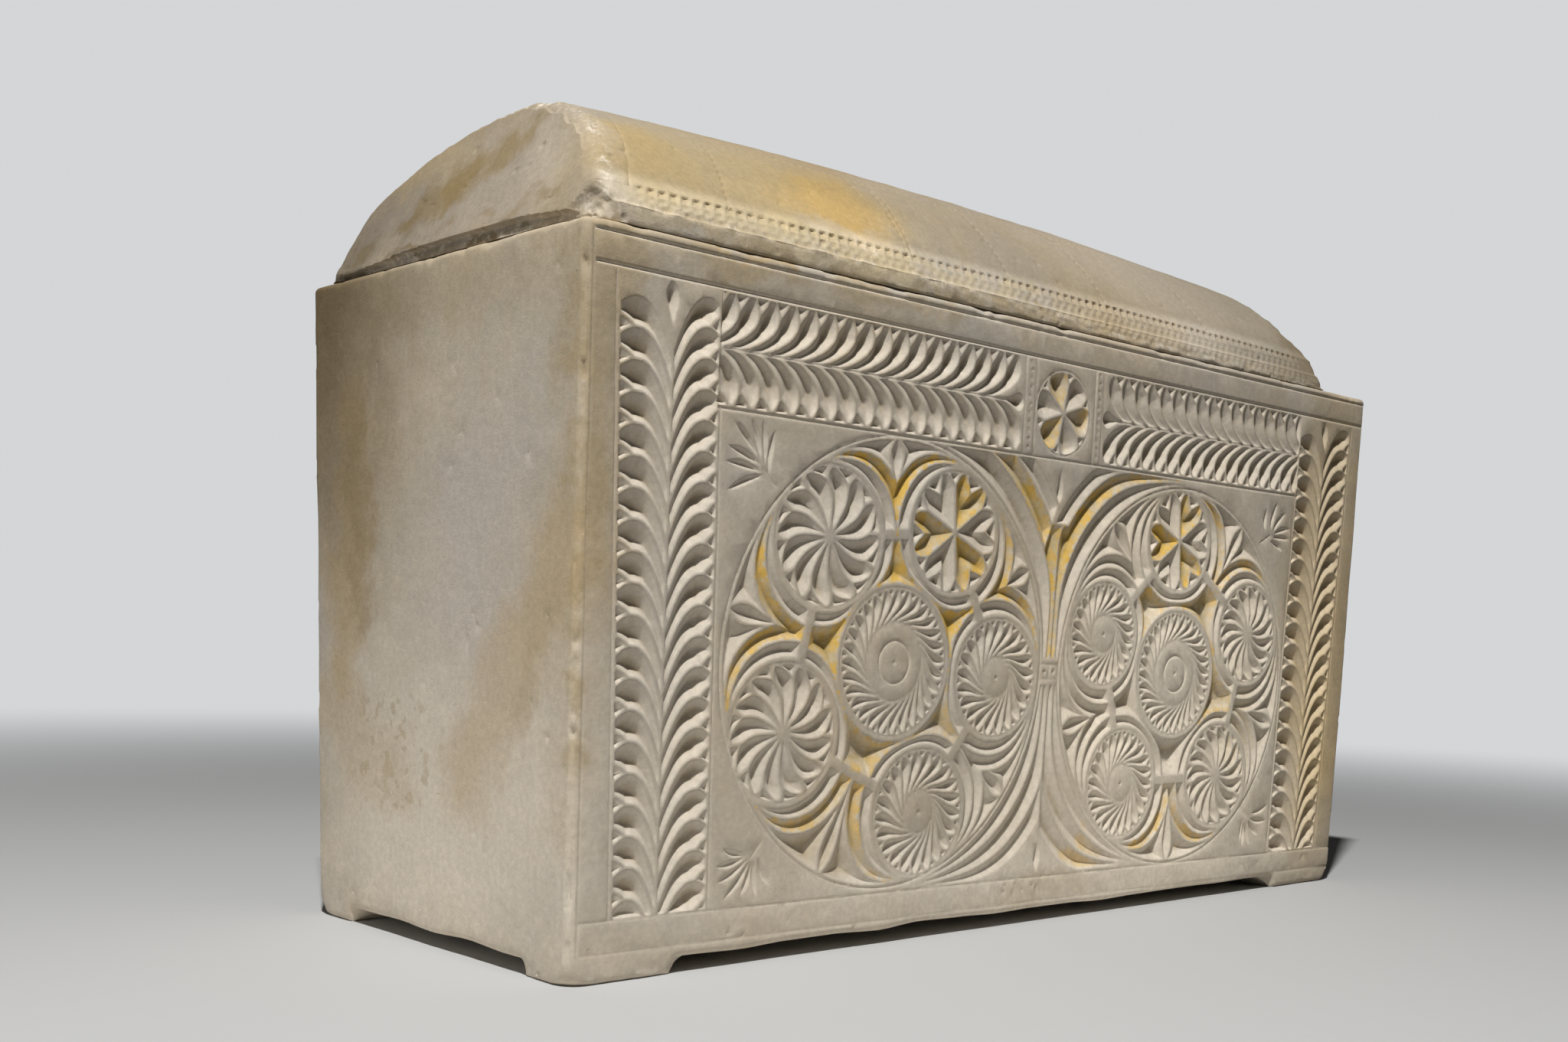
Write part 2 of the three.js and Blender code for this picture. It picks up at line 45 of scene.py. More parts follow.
# The chest, in millimetres
HEIGHT = 377.0
HALF_LENGTH = 369.9
HALF_WIDTH = 144.9
END_BATTER = 15.0
SIDE_BATTER = 13.5
ARRIS = 5.0
RIM_ROUND = 3.5
END_WALL = 45.0
SIDE_WALL = 34.0
FLOOR = 42.0
CAVITY_CORNER = 14.0
CAVITY_DRAFT = 12.0
FOOT_HEIGHT = 8.5
FOOT_SLOPE = 7.0
FOOT_LEFT = 66.0
FOOT_RIGHT = 80.0
FOOT_DEPTH = 40.0
FOOT_WORN = 11.0
FOOT_WORN_HEIGHT = 17.0
BASE_ROUND = 3.5

# The lid, in millimetres, in its own place before it is set on the rim
LID_HALF = 338.5
LID_WIDTH = 268.0
LID_HEIGHT = 98.0
PLINTH = 11.0
BAND = 12.0
BAND_INSET = 1.0
VAULT_FOOT = 5.0
SHOULDER = 32.0
NICK_TOP = 22.6
NICK_PITCH = 7.5
BAND_SLANT = 5.5
END_LEAN = 38.0
CREST_DROP = 9.0
LID_ROUND = 4.5
LID_END_WALL = 42.0
LID_SIDE_WALL = 34.0
HOLLOW_SIDE = 16.0
HOLLOW_CROWN = 38.0
LID_SHIFT = (-28.5, -10.0, 377.3)

# Fineness of the meshes. A step is spread over about the length of its wall
FRONT_RUN = 724
END_RUN = 274
FINE = 0.6
COARSE = 2.2
END_STEP = 1.3
BENDS = 12
CHEST_TRIANGLES = 190000
LID_TRIANGLES = 150000

# How the cuts are shaped
HALF_RIDGE = 0.55
SLOPE = 0.82
STEEP = 1.2
FLAME_SLOPE = 0.9
END_SLOPE = 1.6
DEEPEST = 6.0
CHIP_DEEPEST = 4.0
BAND_DEEPEST = 5.0
PAINT_REACH = 6.0
RELIEF_STEP = 0.5


# Noise


def scatter(ix, iy, iz, seed):
    """A repeatable number from 0 to 1 for each whole-number place."""
    h = ix.astype(np.uint32) * np.uint32(374761393)
    h += iy.astype(np.uint32) * np.uint32(668265263)
    h += iz.astype(np.uint32) * np.uint32(2246822519)
    h += np.uint32((seed * 3266489917) % 2**32)
    h = (h ^ (h >> np.uint32(13))) * np.uint32(1274126177)
    h ^= h >> np.uint32(16)
    return h.astype(np.float64) / 2**32


def noise(p, size, seed):
    """Smooth noise from -1 to 1 with bumps of about the given size, at places p."""
    q = p / size
    whole = np.floor(q)
    f = q - whole
    f = f * f * (3 - 2 * f)
    i = whole.astype(np.int64)
    total = 0
    for step in np.ndindex(2, 2, 2):
        x, y, z = (f[:, n] if step[n] else 1 - f[:, n] for n in range(3))
        total = total + x * y * z * scatter(*(i[:, n] + step[n] for n in range(3)), seed)
    return 2 * total - 1


def pits(p, size, share, seed):
    """Round pits scattered in space: 1 in a pit's middle, 0 outside. A share of the cells has
    one."""
    q = p / size
    whole = np.floor(q).astype(np.int64)
    best = np.zeros(len(p))
    for step in np.ndindex(3, 3, 3):
        cell = [whole[:, n] + step[n] - 1 for n in range(3)]
        k = np.nonzero(scatter(*cell, seed) < share)[0]
        cell = [c[k] for c in cell]
        centre = np.stack([cell[n] + scatter(*cell, seed + 1 + n) for n in range(3)], 1)
        radius = 0.15 + 0.3 * scatter(*cell, seed + 5)
        d = np.linalg.norm(q[k] - centre, axis=1) / radius
        best[k] = most(best[k], np.clip(1 - d * d, 0, 1) * radius / 0.45)
    return best


def least(first, *others):
    """The lowest of several fields, place by place."""
    for other in others:
        first = np.minimum(first, other)
    return first


def most(first, *others):
    """The highest of several fields, place by place."""
    for other in others:
        first = np.maximum(first, other)
    return first


def smooth(x, low, high):
    """0 below low, 1 above high and a smooth step between."""
    t = np.clip((x - low) / (high - low), 0, 1)
    return t * t * (3 - 2 * t)


# The carved front, as a depth map over x and z


class Relief:
    """How deep the front is cut, on a fine grid over x and z, and how far each place lies
    inside the painted cuts."""

    def __init__(self):
        self.x0 = -374.0
        self.xs = np.arange(self.x0, 374.0, RELIEF_STEP)
        self.zs = np.arange(0.0, HEIGHT + 2, RELIEF_STEP)
        self.depth = np.zeros((len(self.zs), len(self.xs)))
        self.paint = np.full_like(self.depth, -PAINT_REACH)

    def window(self, x0, x1, z0, z1):
        """The part of the grid between those bounds, with its x and z."""
        i0, i1 = np.searchsorted(self.xs, (x0, x1))
        j0, j1 = np.searchsorted(self.zs, (z0, z1))
        x, z = np.meshgrid(self.xs[i0:i1], self.zs[j0:j1])
        return (slice(j0, j1), slice(i0, i1)), x, z

    def about(self, x0, z0, reach):
        return self.window(x0 - reach, x0 + reach, z0 - reach, z0 + reach)

    def cut(self, place, depth, painted=None):
        """Cut a window down to a depth; painted is how far its places lie inside the paint."""
        self.depth[place] = most(self.depth[place], depth)
        if painted is not None:
            self.paint[place] = most(self.paint[place], painted)

    def wear(self):
        """Round the ridges and the valleys a little."""
        d = np.pad(self.depth, 1, mode="edge")
        d = (d[:-2] + 2 * d[1:-1] + d[2:]) / 4
        self.depth = (d[:, :-2] + 2 * d[:, 1:-1] + d[:, 2:]) / 4

    def at(self, field, x, z):
        """The field's value at any x and z."""
        u = np.clip((x - self.x0) / RELIEF_STEP, 0, field.shape[1] - 1.001)
        v = np.clip(z / RELIEF_STEP, 0, field.shape[0] - 1.001)
        i, j = u.astype(int), v.astype(int)
        fu, fv = u - i, v - j
        low = field[j, i] * (1 - fu) + field[j, i + 1] * fu
        high = field[j + 1, i] * (1 - fu) + field[j + 1, i + 1] * fu
        return low * (1 - fv) + high * fv


relief = Relief()


def strip(a, b, reach):
    """The places about the line from a to b: the window, the line's length, and how far along
    the line and how far to its left each place lies."""
    (ax, az), (bx, bz) = a, b
    length = math.hypot(bx - ax, bz - az)
    low, high = least(a, b) - reach, most(a, b) + reach
    place, x, z = relief.window(low[0], high[0], low[1], high[1])
    ux, uz = (bx - ax) / length, (bz - az) / length
    return place, length, (x - ax) * ux + (z - az) * uz, (z - az) * ux - (x - ax) * uz


def leaf(a, b, left, right, slope):
    """A pointed cut from a to b. Its two edges bow to the left of the straight line by left
    and right."""
    place, length, s, n = strip(a, b, max(abs(left), abs(right)) + 2)
    t = 2 * s / length - 1
    bow = 1 - t * t
    lean = 4 * t / length
    to_left = (left * bow - n) / np.sqrt(1 + (left * lean) ** 2)
    to_right = (n - right * bow) / np.sqrt(1 + (right * lean) ** 2)
    relief.cut(place, slope * least(to_left, to_right))


def flame(tip, foot, half, belly):
    """A cut that is pointed at the tip and widest at the share belly of its length."""
    place, length, s, n = strip(tip, foot, half)
    t = np.clip(s / length, 0, 1) ** (math.log(0.5) / math.log(belly))
    side = half * np.sin(math.pi * t) ** 0.8 - np.abs(n)
    relief.cut(place, least(FLAME_SLOPE * side, 1.2 * (length - s)))


def groove(a, b, width, depth):
    """A thin straight line."""
    place, length, s, n = strip(a, b, width)
    ends = least(s, length - s)
    relief.cut(place, least(depth * (1 - 2 * np.abs(n) / width), ends))


def ring(x0, z0, radius, width, depth):
    place, x, z = relief.about(x0, z0, radius + width)
    off = np.abs(np.hypot(x - x0, z - z0) - radius)
    relief.cut(place, depth * (1 - 2 * off / width))


def dot(x0, z0, radius, depth):
    place, x, z = relief.about(x0, z0, radius)
    relief.cut(place, depth * (1 - np.hypot(x - x0, z - z0) / radius))


def rosette(
    x0, z0, rim, count, hub, bend, fork, chip, tip, slope, end, notch=None, painted=()
):
    """Petals cut as hollows round a middle, with a three-cornered chip between their ends.
    bend whirls them: their turn goes with the share of the way out, with its square, and with
    the cube of the share that is left. fork is the share of the radius where the chips begin
    and chip the half width of a chip at the rim, round which the ends are rounded; tip is where
    the first petal's end lies. slope and end are how steep a petal's sides and its end are cut.
    A notch splits each end like a heart."""
    place, x, z = relief.about(x0, z0, rim)
    r = most(np.hypot(x - x0, z - z0), 0.01)
    share = np.clip((r - hub) / (rim - hub), 0.002, 1)
    slant = r * (bend[0] + 2 * bend[1] * share + 3 * bend[2] * (1 - share) ** 2) / (rim - hub)
    whirl = bend[0] * (share - 1) + bend[1] * (share**2 - 1) - bend[2] * (1 - share) ** 3
    turn = (np.arctan2(z - z0, x - x0) - math.radians(tip) - whirl) * count / TAU
    number = np.round(turn)
    half = math.pi * r / count / np.sqrt(1 + slant**2)
    aside = 2 * np.abs(turn - number) * half
    opening = (r / rim - fork) / (1 - fork)
    past = np.clip(opening, 0, 0.99)
    rest = np.sqrt(1 - past**2)
    steep = 0.5 * chip * (1 + past / rest) / (rim * (1 - fork))
    off_chip = (half - aside - 0.5 * chip * (opening + 1 - rest)) / np.sqrt(1 + steep**2)
    in_petal = least(half - aside, off_chip) - HALF_RIDGE
    in_chip = least(-off_chip - HALF_RIDGE, rim - r)
    if notch:
        split = (r / rim - notch[0]) / (1 - notch[0])
        gap = notch[1] * np.sign(split) * np.abs(split) ** 1.15
        in_petal = least(in_petal, aside - gap - HALF_RIDGE)
        in_chip = most(in_chip, least(gap - aside - HALF_RIDGE, rim - r))
    petal = meet(9, slope * in_petal, end * (rim - r), END_SLOPE * (r - hub))
    relief.cut(place, least(petal, DEEPEST))
    relief.cut(place, least(STEEP * in_chip, END_SLOPE * (rim - r), CHIP_DEEPEST))
    if painted:
        chosen = np.isin(number % count, painted)
        inside = np.where(chosen, least(in_petal, rim - r), -PAINT_REACH)
        relief.cut(place, 0.0, inside)


def meet(crisp, *walls):
    """The depth where walls meet, rounded in the bottom; the higher crisp, the sharper."""
    total = 0
    for wall in walls:
        total = total + most(wall, 0.01) ** -crisp
    return total ** (-1 / crisp) - 0.01


def leaf_row(
    place, out, along, width, top, walls, chips, pitch, curve, shoulder, tip_gap, reach
):
    """One row of leaves beside a rib. out and along are each place's distances from the rib and
    along it; width is the row's; top is how far along the last leaf's shoulder lies. walls are
    the slopes of a leaf's upper wall, its lower wall and its end, and how crisply they meet;
    chips are the slopes of the two long walls of the chip between two ends."""
    scale = width / reach
    u = np.clip(out / scale, 0, reach)
    edge, slope = curve(u)
    rate = tip_gap / (reach - shoulder)
    across = 1 / np.sqrt(1 + (slope / scale) ** 2)
    across_tip = 1 / np.sqrt(1 + ((slope + rate) / scale) ** 2)
    turn = (along - top - edge) / pitch
    below = (np.ceil(turn) - turn) * pitch
    above = (turn - np.floor(turn)) * pitch
    border = width - out
    off_chip = (above - rate * (u - shoulder)) * across_tip
    to_upper = below * across - HALF_RIDGE
    to_lower = least(above * across, off_chip) - HALF_RIDGE
    ends = least(walls[2] * (border - 0.6), END_SLOPE * (out - 0.7))
    leaf_cut = meet(walls[3], walls[0] * to_upper, walls[1] * to_lower, ends)
    chip = chips[0] * (-off_chip - HALF_RIDGE)
    chip = least(chip, chips[1] * (above * across - HALF_RIDGE), 2.0 * border)
    cut = least(most(leaf_cut, chip), END_SLOPE * along)
    cut = np.where((turn < 0) & (out > 0) & (border > 0), cut, 0)
    relief.cut(place, least(cut, DEEPEST))


def arching(drop, arch, droop, reach):
    """A leaf's edge that climbs as far as arch, then droops: its height and its slope."""

    def curve(u):
        s = np.clip(1 - u / arch, 0, 1)
        t = np.clip((u - arch) / (reach - arch), 0, 1)
        height = -drop * s**2.2 - droop * t**2
        return height, 2.2 * drop / arch * s**1.2 - 2 * droop / (reach - arch) * t

    return curve


# The palms' leaves are sunk on the rows towards the left and even on those towards the right;
# the friezes' leaves are even above or below the rib and like spoons on its other side
PALM = dict(pitch=15.9, chips=(0.55, 2.8), tip_gap=9.5, reach=32)
PALM_SUNK = dict(walls=(0.62, 1.12, 1.6, 9), curve=arching(30, 21, 4.5, 32), shoulder=23, **PALM)
PALM_EVEN = dict(walls=(0.82, 0.9, 1.4, 9), curve=arching(31, 24.5, 3.6, 32), shoulder=25, **PALM)
FRIEZE = dict(pitch=14.2, reach=30)
FRIEZE_EVEN = dict(
    walls=(0.8, 1.0, 1.3, 9), chips=(0.6, 2.6), curve=arching(24, 21, 2.8, 30),
    shoulder=20.5, tip_gap=9.5, **FRIEZE,
)
FRIEZE_SPOON = dict(
    walls=(1.3, 0.6, 0.9, 3), chips=(2.4, 0.8), curve=arching(18, 22, 4.0, 30),
    shoulder=22, tip_gap=11.0, **FRIEZE,
)


def lerp(a, b, share):
    return a + (b - a) * share


def palm(foot, crown, outer, rib, inner, tops):
    """An upright palm. outer, rib and inner give x at its foot and at its crown."""
    x_low = min(*outer, *inner) - 2
    x_high = max(*outer, *inner) + 2
    place, x, z = relief.window(x_low, x_high, foot, crown)
    share = (z - foot) / (crown - foot)
    stem = lerp(*rib, share)
    for bound, top in zip((outer, inner), tops):
        edge = lerp(*bound, share)
        out = (x - stem) * np.sign(edge - stem)
        kind = PALM_SUNK if bound[0] < rib[0] else PALM_EVEN
        leaf_row(place, out, z - foot, np.abs(edge - stem) - 1.2, top - foot, **kind)
    flame((rib[1] + 0.5, crown - 26), (rib[1] - 1.5, crown - 1), 4.4, 0.68)


def frieze(start, end, rib, low, high):
    """A lying frond that grows from start to end."""
    place, x, z = relief.window(min(start, end), max(start, end), low, high)
    side = 1 if end > start else -1
    along = (x - start) * side
    length = abs(end - start)
    above, below = (FRIEZE_EVEN, FRIEZE_SPOON) if side > 0 else (FRIEZE_SPOON, FRIEZE_EVEN)
    leaf_row(place, z - rib, along, high - rib - 1.2, length - 4, **above)
    leaf_row(place, rib - z, along, rib - low - 1.2, length - 1, **below)
    groove((start + side * 2, rib), (end - side * 14, rib), 2.6, 1.1)
    flame((end - side * 25, rib), (end, rib), 5.6, 0.8)


# Each rosette: x, z, the radius of its ring, its kind, how many petals and where one's tip lies
LEFT_ROUNDEL = {
    "place": (-140.0, 163.0, 130.0),
    "middle": (-140.5, 163.0, 44.75),
    "around": [
        (-223.0, 123.3, 40.0, "whirl", 13, 76),
        (-113.0, 75.0, 38.75, "hub", 21, 98),
        (-51.3, 154.5, 38.0, "hub", 21, 90),
        (-95.5, 240.8, 38.0, "hearts", 6, 65),
        (-197.0, 231.8, 41.5, "whirl", 12, 92),
    ],
    "paint": [1, 0, 1, 1, 1],
    "inner_paint": [1, 1, 1, 1, 1],
}
RIGHT_ROUNDEL = {
    "place": (137.5, 157.5, 129.0),
    "middle": (135.0, 158.8, 44.0),
    "around": [
        (80.5, 85.0, 37.5, "hub", 22, 95),
        (191.3, 86.8, 37.5, "whirl", 15, 90),
        (222.0, 188.3, 37.0, "whirl", 15, 92),
        (131.8, 250.0, 36.0, "hearts", 6, 65),
        (53.0, 183.8, 35.5, "hub", 22, 88),
    ],
    "paint": [1, 0, 1, 0, 0],
    "inner_paint": [0, 1, 1, 1, 0],
}
RING_WIDTH = 3.4


def hub_rosette(x0, z0, radius, count, tip, hub, whirl):
    rim = radius - RING_WIDTH
    chip = 0.42 * TAU * rim / count
    rosette(x0, z0, rim + 0.6, count, hub, (0, 0, -whirl), 0.82, chip, tip, 0.95, 1.6)
    ring(x0, z0, hub - 0.3, 1.2, 0.7)
    dot(x0, z0, 1.7, 1.3)


def carve_rosette(x0, z0, radius, kind, count, tip):
    rim = radius - RING_WIDTH
    if kind == "whirl":
        chip = 0.38 * TAU * rim / count
        bend = (-0.45, 0.72, 0)
        rosette(x0, z0, rim + 0.8, count, 0.4, bend, 0.79, chip, tip, 0.74, 1.15)
    elif kind == "hub":
        hub_rosette(x0, z0, radius, count, tip, 12.6, 0.8)
    else:
        rosette(
            x0, z0, rim + 1, count, 0.4, (0, 0, 0), 0.76, 7.0, tip, 0.62, 1.2,
            notch=(0.73, 7.0), painted=(0, 2, 4),
        )
    ring(x0, z0, radius - RING_WIDTH / 2, 1.2, 0.7)


BAND_1 = 10.5
BAND_2 = 10.0
DART_ROOM = 5.0
INNER_BAND = 8.5
INNER_ROOM = 4.5


def squeeze(room, width, power=3.0):
    """How far a set of bands that wants room is pressed together where there is only width."""
    return (1 + (room / most(width, 0.5)) ** power) ** (1 / power)


def roundel(place, middle, around, paint, inner_paint):
    """A big roundel: its rosettes and the crescents, darts and chips between them."""
    x0, z0, radius = place
    ring(x0, z0, radius, 1.6, 1.0)
    for rose in around:
        carve_rosette(*rose)
    hub_rosette(*middle, 28, 91, 22.8, 0.55)
    ring(middle[0], middle[1], 12.4, 1.9, 1.1)
    ring(middle[0], middle[1], middle[2] - RING_WIDTH / 2, 1.2, 0.7)
    where, x, z = relief.about(x0, z0, radius)
    rho = np.hypot(x - x0, z - z0)
    to_rim = radius - rho - 1.4
    to_middle = np.hypot(x - middle[0], z - middle[1]) - middle[2]
    theta = np.arctan2(z - z0, x - x0)
    for i, first in enumerate(around):
        second = around[(i + 1) % len(around)]
        a1 = math.atan2(first[1] - z0, first[0] - x0)
        a2 = math.atan2(second[1] - z0, second[0] - x0)
        mine = ((theta - a1) % TAU) < ((a2 - a1) % TAU)
        d1 = np.hypot(x - first[0], z - first[1]) - first[2]
        d2 = np.hypot(x - second[0], z - second[1]) - second[2]
        near, far = least(d1, d2), most(d1, d2)
        aside = (far - near) / 2
        # How far outside the line between the two rosettes' middles
        nx, nz = second[1] - first[1], first[0] - second[0]
        norm = math.hypot(nx, nz)
        beyond = ((x - first[0]) * nx + (z - first[1]) * nz) / norm
        if ((x0 - first[0]) * nx + (z0 - first[1]) * nz) > 0:
            beyond = -beyond
        open_ground = mine & (near > 0) & (to_middle > 0) & (to_rim > 0)
        outer_cuts(where, open_ground, near, aside, to_rim, beyond, paint[i])
        inner_cuts(where, open_ground, near, aside, to_middle, beyond, inner_paint[i])


def lay(where, ground, inside, slope, painted=False):
    """Cut to the depth that the places inside a cut have, where the ground is open."""
    inside = np.where(ground, inside, -PAINT_REACH)
    relief.cut(where, least(slope * inside, BAND_DEEPEST), inside if painted else None)


def outer_cuts(where, ground, near, aside, to_rim, beyond, painted):
    ground = ground & (beyond > 1)
    k = squeeze(BAND_1 + BAND_2 + DART_ROOM, near + to_rim)
    s = near * k
    band = least(least(s - 1.0, BAND_1 - s) / k, aside, (beyond - 2) * 0.7)
    lay(where, ground, band - HALF_RIDGE, SLOPE)
    band = least(s - BAND_1, BAND_1 + BAND_2 - s) / k - HALF_RIDGE
    lay(where, ground, least(band, to_rim, beyond - 3), SLOPE, painted)
    past = (s - BAND_1 - BAND_2) / k
    share = np.clip(past / most(past + to_rim, 0.1), 0, 1)
    dart = np.where(past > 0, 4.3 * np.sin(math.pi * share**0.75) ** 0.7, 0)
    ground = ground & (past > 0)
    lay(where, ground, least(dart - aside, to_rim) - HALF_RIDGE, 0.9)
    lay(where, ground, least(past, to_rim, aside - dart) - HALF_RIDGE, 0.75)


def inner_cuts(where, ground, near, aside, to_middle, beyond, painted):
    ground = ground & (beyond < 0)
    k = squeeze(INNER_BAND + INNER_ROOM, near + to_middle)
    s = near * k
    end = 0.8 * (-beyond - 2)
    band = least(least(s - 1.0, INNER_BAND - s) / k, aside, end)
    lay(where, ground, band - HALF_RIDGE, SLOPE)
    rest = least((s - INNER_BAND) / k, to_middle - 0.8, end) - HALF_RIDGE
    lay(where, ground, rest, 0.7, painted)


# Where the flutes between the roundels lie, and how far from a roundel each begins and ends
PANEL_TOP = 293.0
PANEL_FOOT = 32.0
NECK_TOP = 253.0
BINDING_TOP = 166.5
BINDING_FOOT = 151.0
UPPER_LEFT = (0.5, 17, 30, 42)
UPPER_RIGHT = (0.5, 16, 30, 42)
LOWER_LEFT = (0.5, 13, 28, 41)
LOWER_RIGHT = (0.5, 13, 29, 45)


def bundle():
    """The long flutes that fan out above and below the binding between the roundels."""
    left, right = LEFT_ROUNDEL["place"], RIGHT_ROUNDEL["place"]
    where, x, z = relief.window(-135, 135, PANEL_FOOT - 3, PANEL_TOP)
    d1 = np.hypot(x - left[0], z - left[1]) - left[2] - 1
    d2 = np.hypot(x - right[0], z - right[1]) - right[2] - 1
    near, far = least(d1, d2), most(d1, d2)
    neck = (12 / most((near + far) / 2, 3)) ** 3
    ground = near > 0

    # Above the binding the line where the two fans meet sways: the wide first flute of the
    # left fan leans over it below NECK_TOP, and the right fan's outer bands above
    upper = ground & (z > BINDING_TOP)
    top = PANEL_TOP - z - 1
    stop = least(z - BINDING_TOP, top + 0.5)
    under = NECK_TOP - z
    sway_left = 4.0 * np.clip(1 - under / 16, 0, 1) ** 2
    sway = np.where(under > 0, sway_left, -6.0 * np.clip(1 + under / 14, 0, 1))
    # The left bands end on a slant beside the neck, the right ones run into it
    slant = -0.926 * (x + 11) + 0.37 * (z - 241)
    for side, cuts in ((1, UPPER_LEFT), (-1, UPPER_RIGHT)):
        s = d1 if side > 0 else d2
        aside = side * ((d2 - d1) / 2 + sway)
        k = neck + (1 if side > 0 else squeeze(28, near + top, 4))
        s = s * k
        here = upper & (aside >= 0)
        for n in range(3):
            band = least(s - cuts[n], cuts[n + 1] - s) / k
            if side > 0 and n > 0:
                band = least(band, 2.2 * slant)
            if side < 0 and n == 1:
                band = least(s - cuts[1], most(cuts[2] - s, k * (under - 1))) / k
                band = least(band, aside + 0.3)
            if side < 0 and n == 2:
                band = least(band, -2.2 * under, aside + 0.3)
            lay(where, here, least(band, stop) - HALF_RIDGE, 0.62, n == 1)
        if side > 0:
            flute = least(2.4 * (s - cuts[1]) / k, 0.8 * aside + 0.3)
            flute = least(flute, -1.2 * slant, 0.6 * under, stop) - HALF_RIDGE
            lay(where, here, flute, 0.62, True)

    lower = ground & (z < BINDING_FOOT)
    foot = z - PANEL_FOOT + 2
    stop = least(BINDING_FOOT - z, foot)
    for side, cuts in ((d1 < d2, LOWER_LEFT), (d1 >= d2, LOWER_RIGHT)):
        k = neck + squeeze(39, near + foot)
        s = near * k
        for n in range(3):
            band = least(s - cuts[n], cuts[n + 1] - s) / k
            band = least(band, (far - near) / 2 + 0.2, stop) - HALF_RIDGE
            lay(where, lower & side, band, 0.66)

    flame((0.2, 291), (-0.6, 266), 3.2, 0.72)
    leaf((-2.5, 31.5), (-2.8, 51), 3.2, -3.2, 1.0)
    for z_line in (153.8, 163.5):
        groove((-10, z_line), (7.5, z_line), 1.2, 0.7)
    for x_line in (-10, -1.2, 7.5):
        groove((x_line, 153.8), (x_line, 163.5), 1.2, 0.7)
    for x_dot in (-5.6, 3.2):
        dot(x_dot, 158.7, 1.7, 1.3)


SPRIGS = [
    # The stem's root, then each leaf's tip and foot
    ((-238, 255), [((-271.5, 289.5), (-252, 270)), ((-258.5, 291), (-250, 268.5)),
                   ((-250.5, 291.5), (-247.5, 267)), ((-241, 287), (-244, 261)),
                   ((-274, 275), (-250, 266)), ((-275, 266.5), (-249, 262.5)),
                   ((-273, 250.5), (-247, 261.5))]),
    ((-234, 65), [((-261, 63), (-244, 58.5)), ((-265.5, 53.5), (-243, 58)), ((-264, 44.5), (-242, 57)),
                  ((-259, 35), (-241, 56)), ((-247, 36.5), (-240, 55)), ((-235, 34.5), (-238.5, 55)),
                  ((-226, 40), (-236, 57))]),
    ((231, 255), [((238, 282), (237, 264)), ((252, 287), (244, 265)), ((263.5, 280), (247, 264)),
                  ((271, 268), (248, 262.5)), ((271, 259.5), (247, 260)), ((262, 250.5), (244, 257.5))]),
    ((226, 64), [((262, 63), (240, 57)), ((261, 51), (238, 54)), ((252, 40), (236, 53)),
                 ((240, 33.5), (234, 52)), ((230, 33), (231, 52)), ((226, 37), (228.5, 54))]),
]


def sprigs():
    for root, leaves in SPRIGS:
        for tip, foot in leaves:
            bow = 1.2 if (tip[0] - foot[0]) * (foot[1] - root[1]) > 0 else -1.2
            leaf(foot, tip, 2.4 + bow, -2.2 + bow, 0.95)
        groove(root, np.mean([foot for tip, foot in leaves], 0), 1.4, 0.9)


FRAME_LINES = [
    # from, to, width, depth
    ((-364.5, 371.5), (366.5, 372), 2.0, 1.5),
    ((-364.5, 372), (-349.5, 15), 1.3, 0.7),
    ((367, 372), (356, 11), 1.3, 0.7),
    ((-363, 355.8), (366, 355), 2.2, 1.6),
    ((-350, 31.5), (356.5, 25.5), 1.3, 0.8),
    ((-349.5, 15), (356, 11), 1.3, 0.6),
    ((-349.8, 354), (-331.8, 32), 1.3, 0.9),
    ((-282.5, 355), (-268.5, 32), 1.3, 0.9),
    ((277.7, 355), (263.6, 27), 1.3, 0.9),
    ((350.5, 353), (330, 27), 1.3, 0.9),
    ((-282, 293.5), (277, 293), 1.6, 1.1),
]


def frame_lines():
    for line in FRAME_LINES:
        groove(*line)
    for x_line in (-39.2, -29.2, 30.0, 38.2):
        groove((x_line, 294), (x_line, 355), 1.2, 0.8)
    for i in range(11):
        for x_dots in (-34.2, 34.1):
            dot(x_dots + 0.5 * math.sin(3 * i), 298.5 + 5.3 * i, 1.3, 1.0)


def carve_front():
    frame_lines()
    for palm_place in (
        # foot, crown, the outer edge, the rib and the inner edge, and the rows' last shoulders
        (32.0, 354.5, (-331.0, -349.0), (-302.5, -314.0), (-269.0, -283.0), (343.4, 349.7)),
        (27.0, 353.5, (329.5, 350.0), (301.0, 313.0), (264.5, 277.5), (350.0, 342.0)),
    ):
        palm(*palm_place)
    frieze(-282.5, -40.0, 325.0, 294.2, 355.0)
    frieze(277.0, 39.0, 324.0, 294.2, 354.5)
    straight = (0, 0, 0)
    rosette(-1.5, 322.8, 25.8, 6, 0.4, straight, 0.72, 5.4, 49, 0.58, 1.7, painted=(1, 3, 5))
    ring(-1.5, 322.8, 27.0, 1.4, 0.9)
    roundel(**LEFT_ROUNDEL)
    roundel(**RIGHT_ROUNDEL)
    bundle()
    sprigs()
    relief.wear()


# Meshes made of rings


def put(name, data):
    """A new object of the scene."""
    thing = bpy.data.objects.new(name, data)
    bpy.context.scene.collection.objects.link(thing)
    return thing


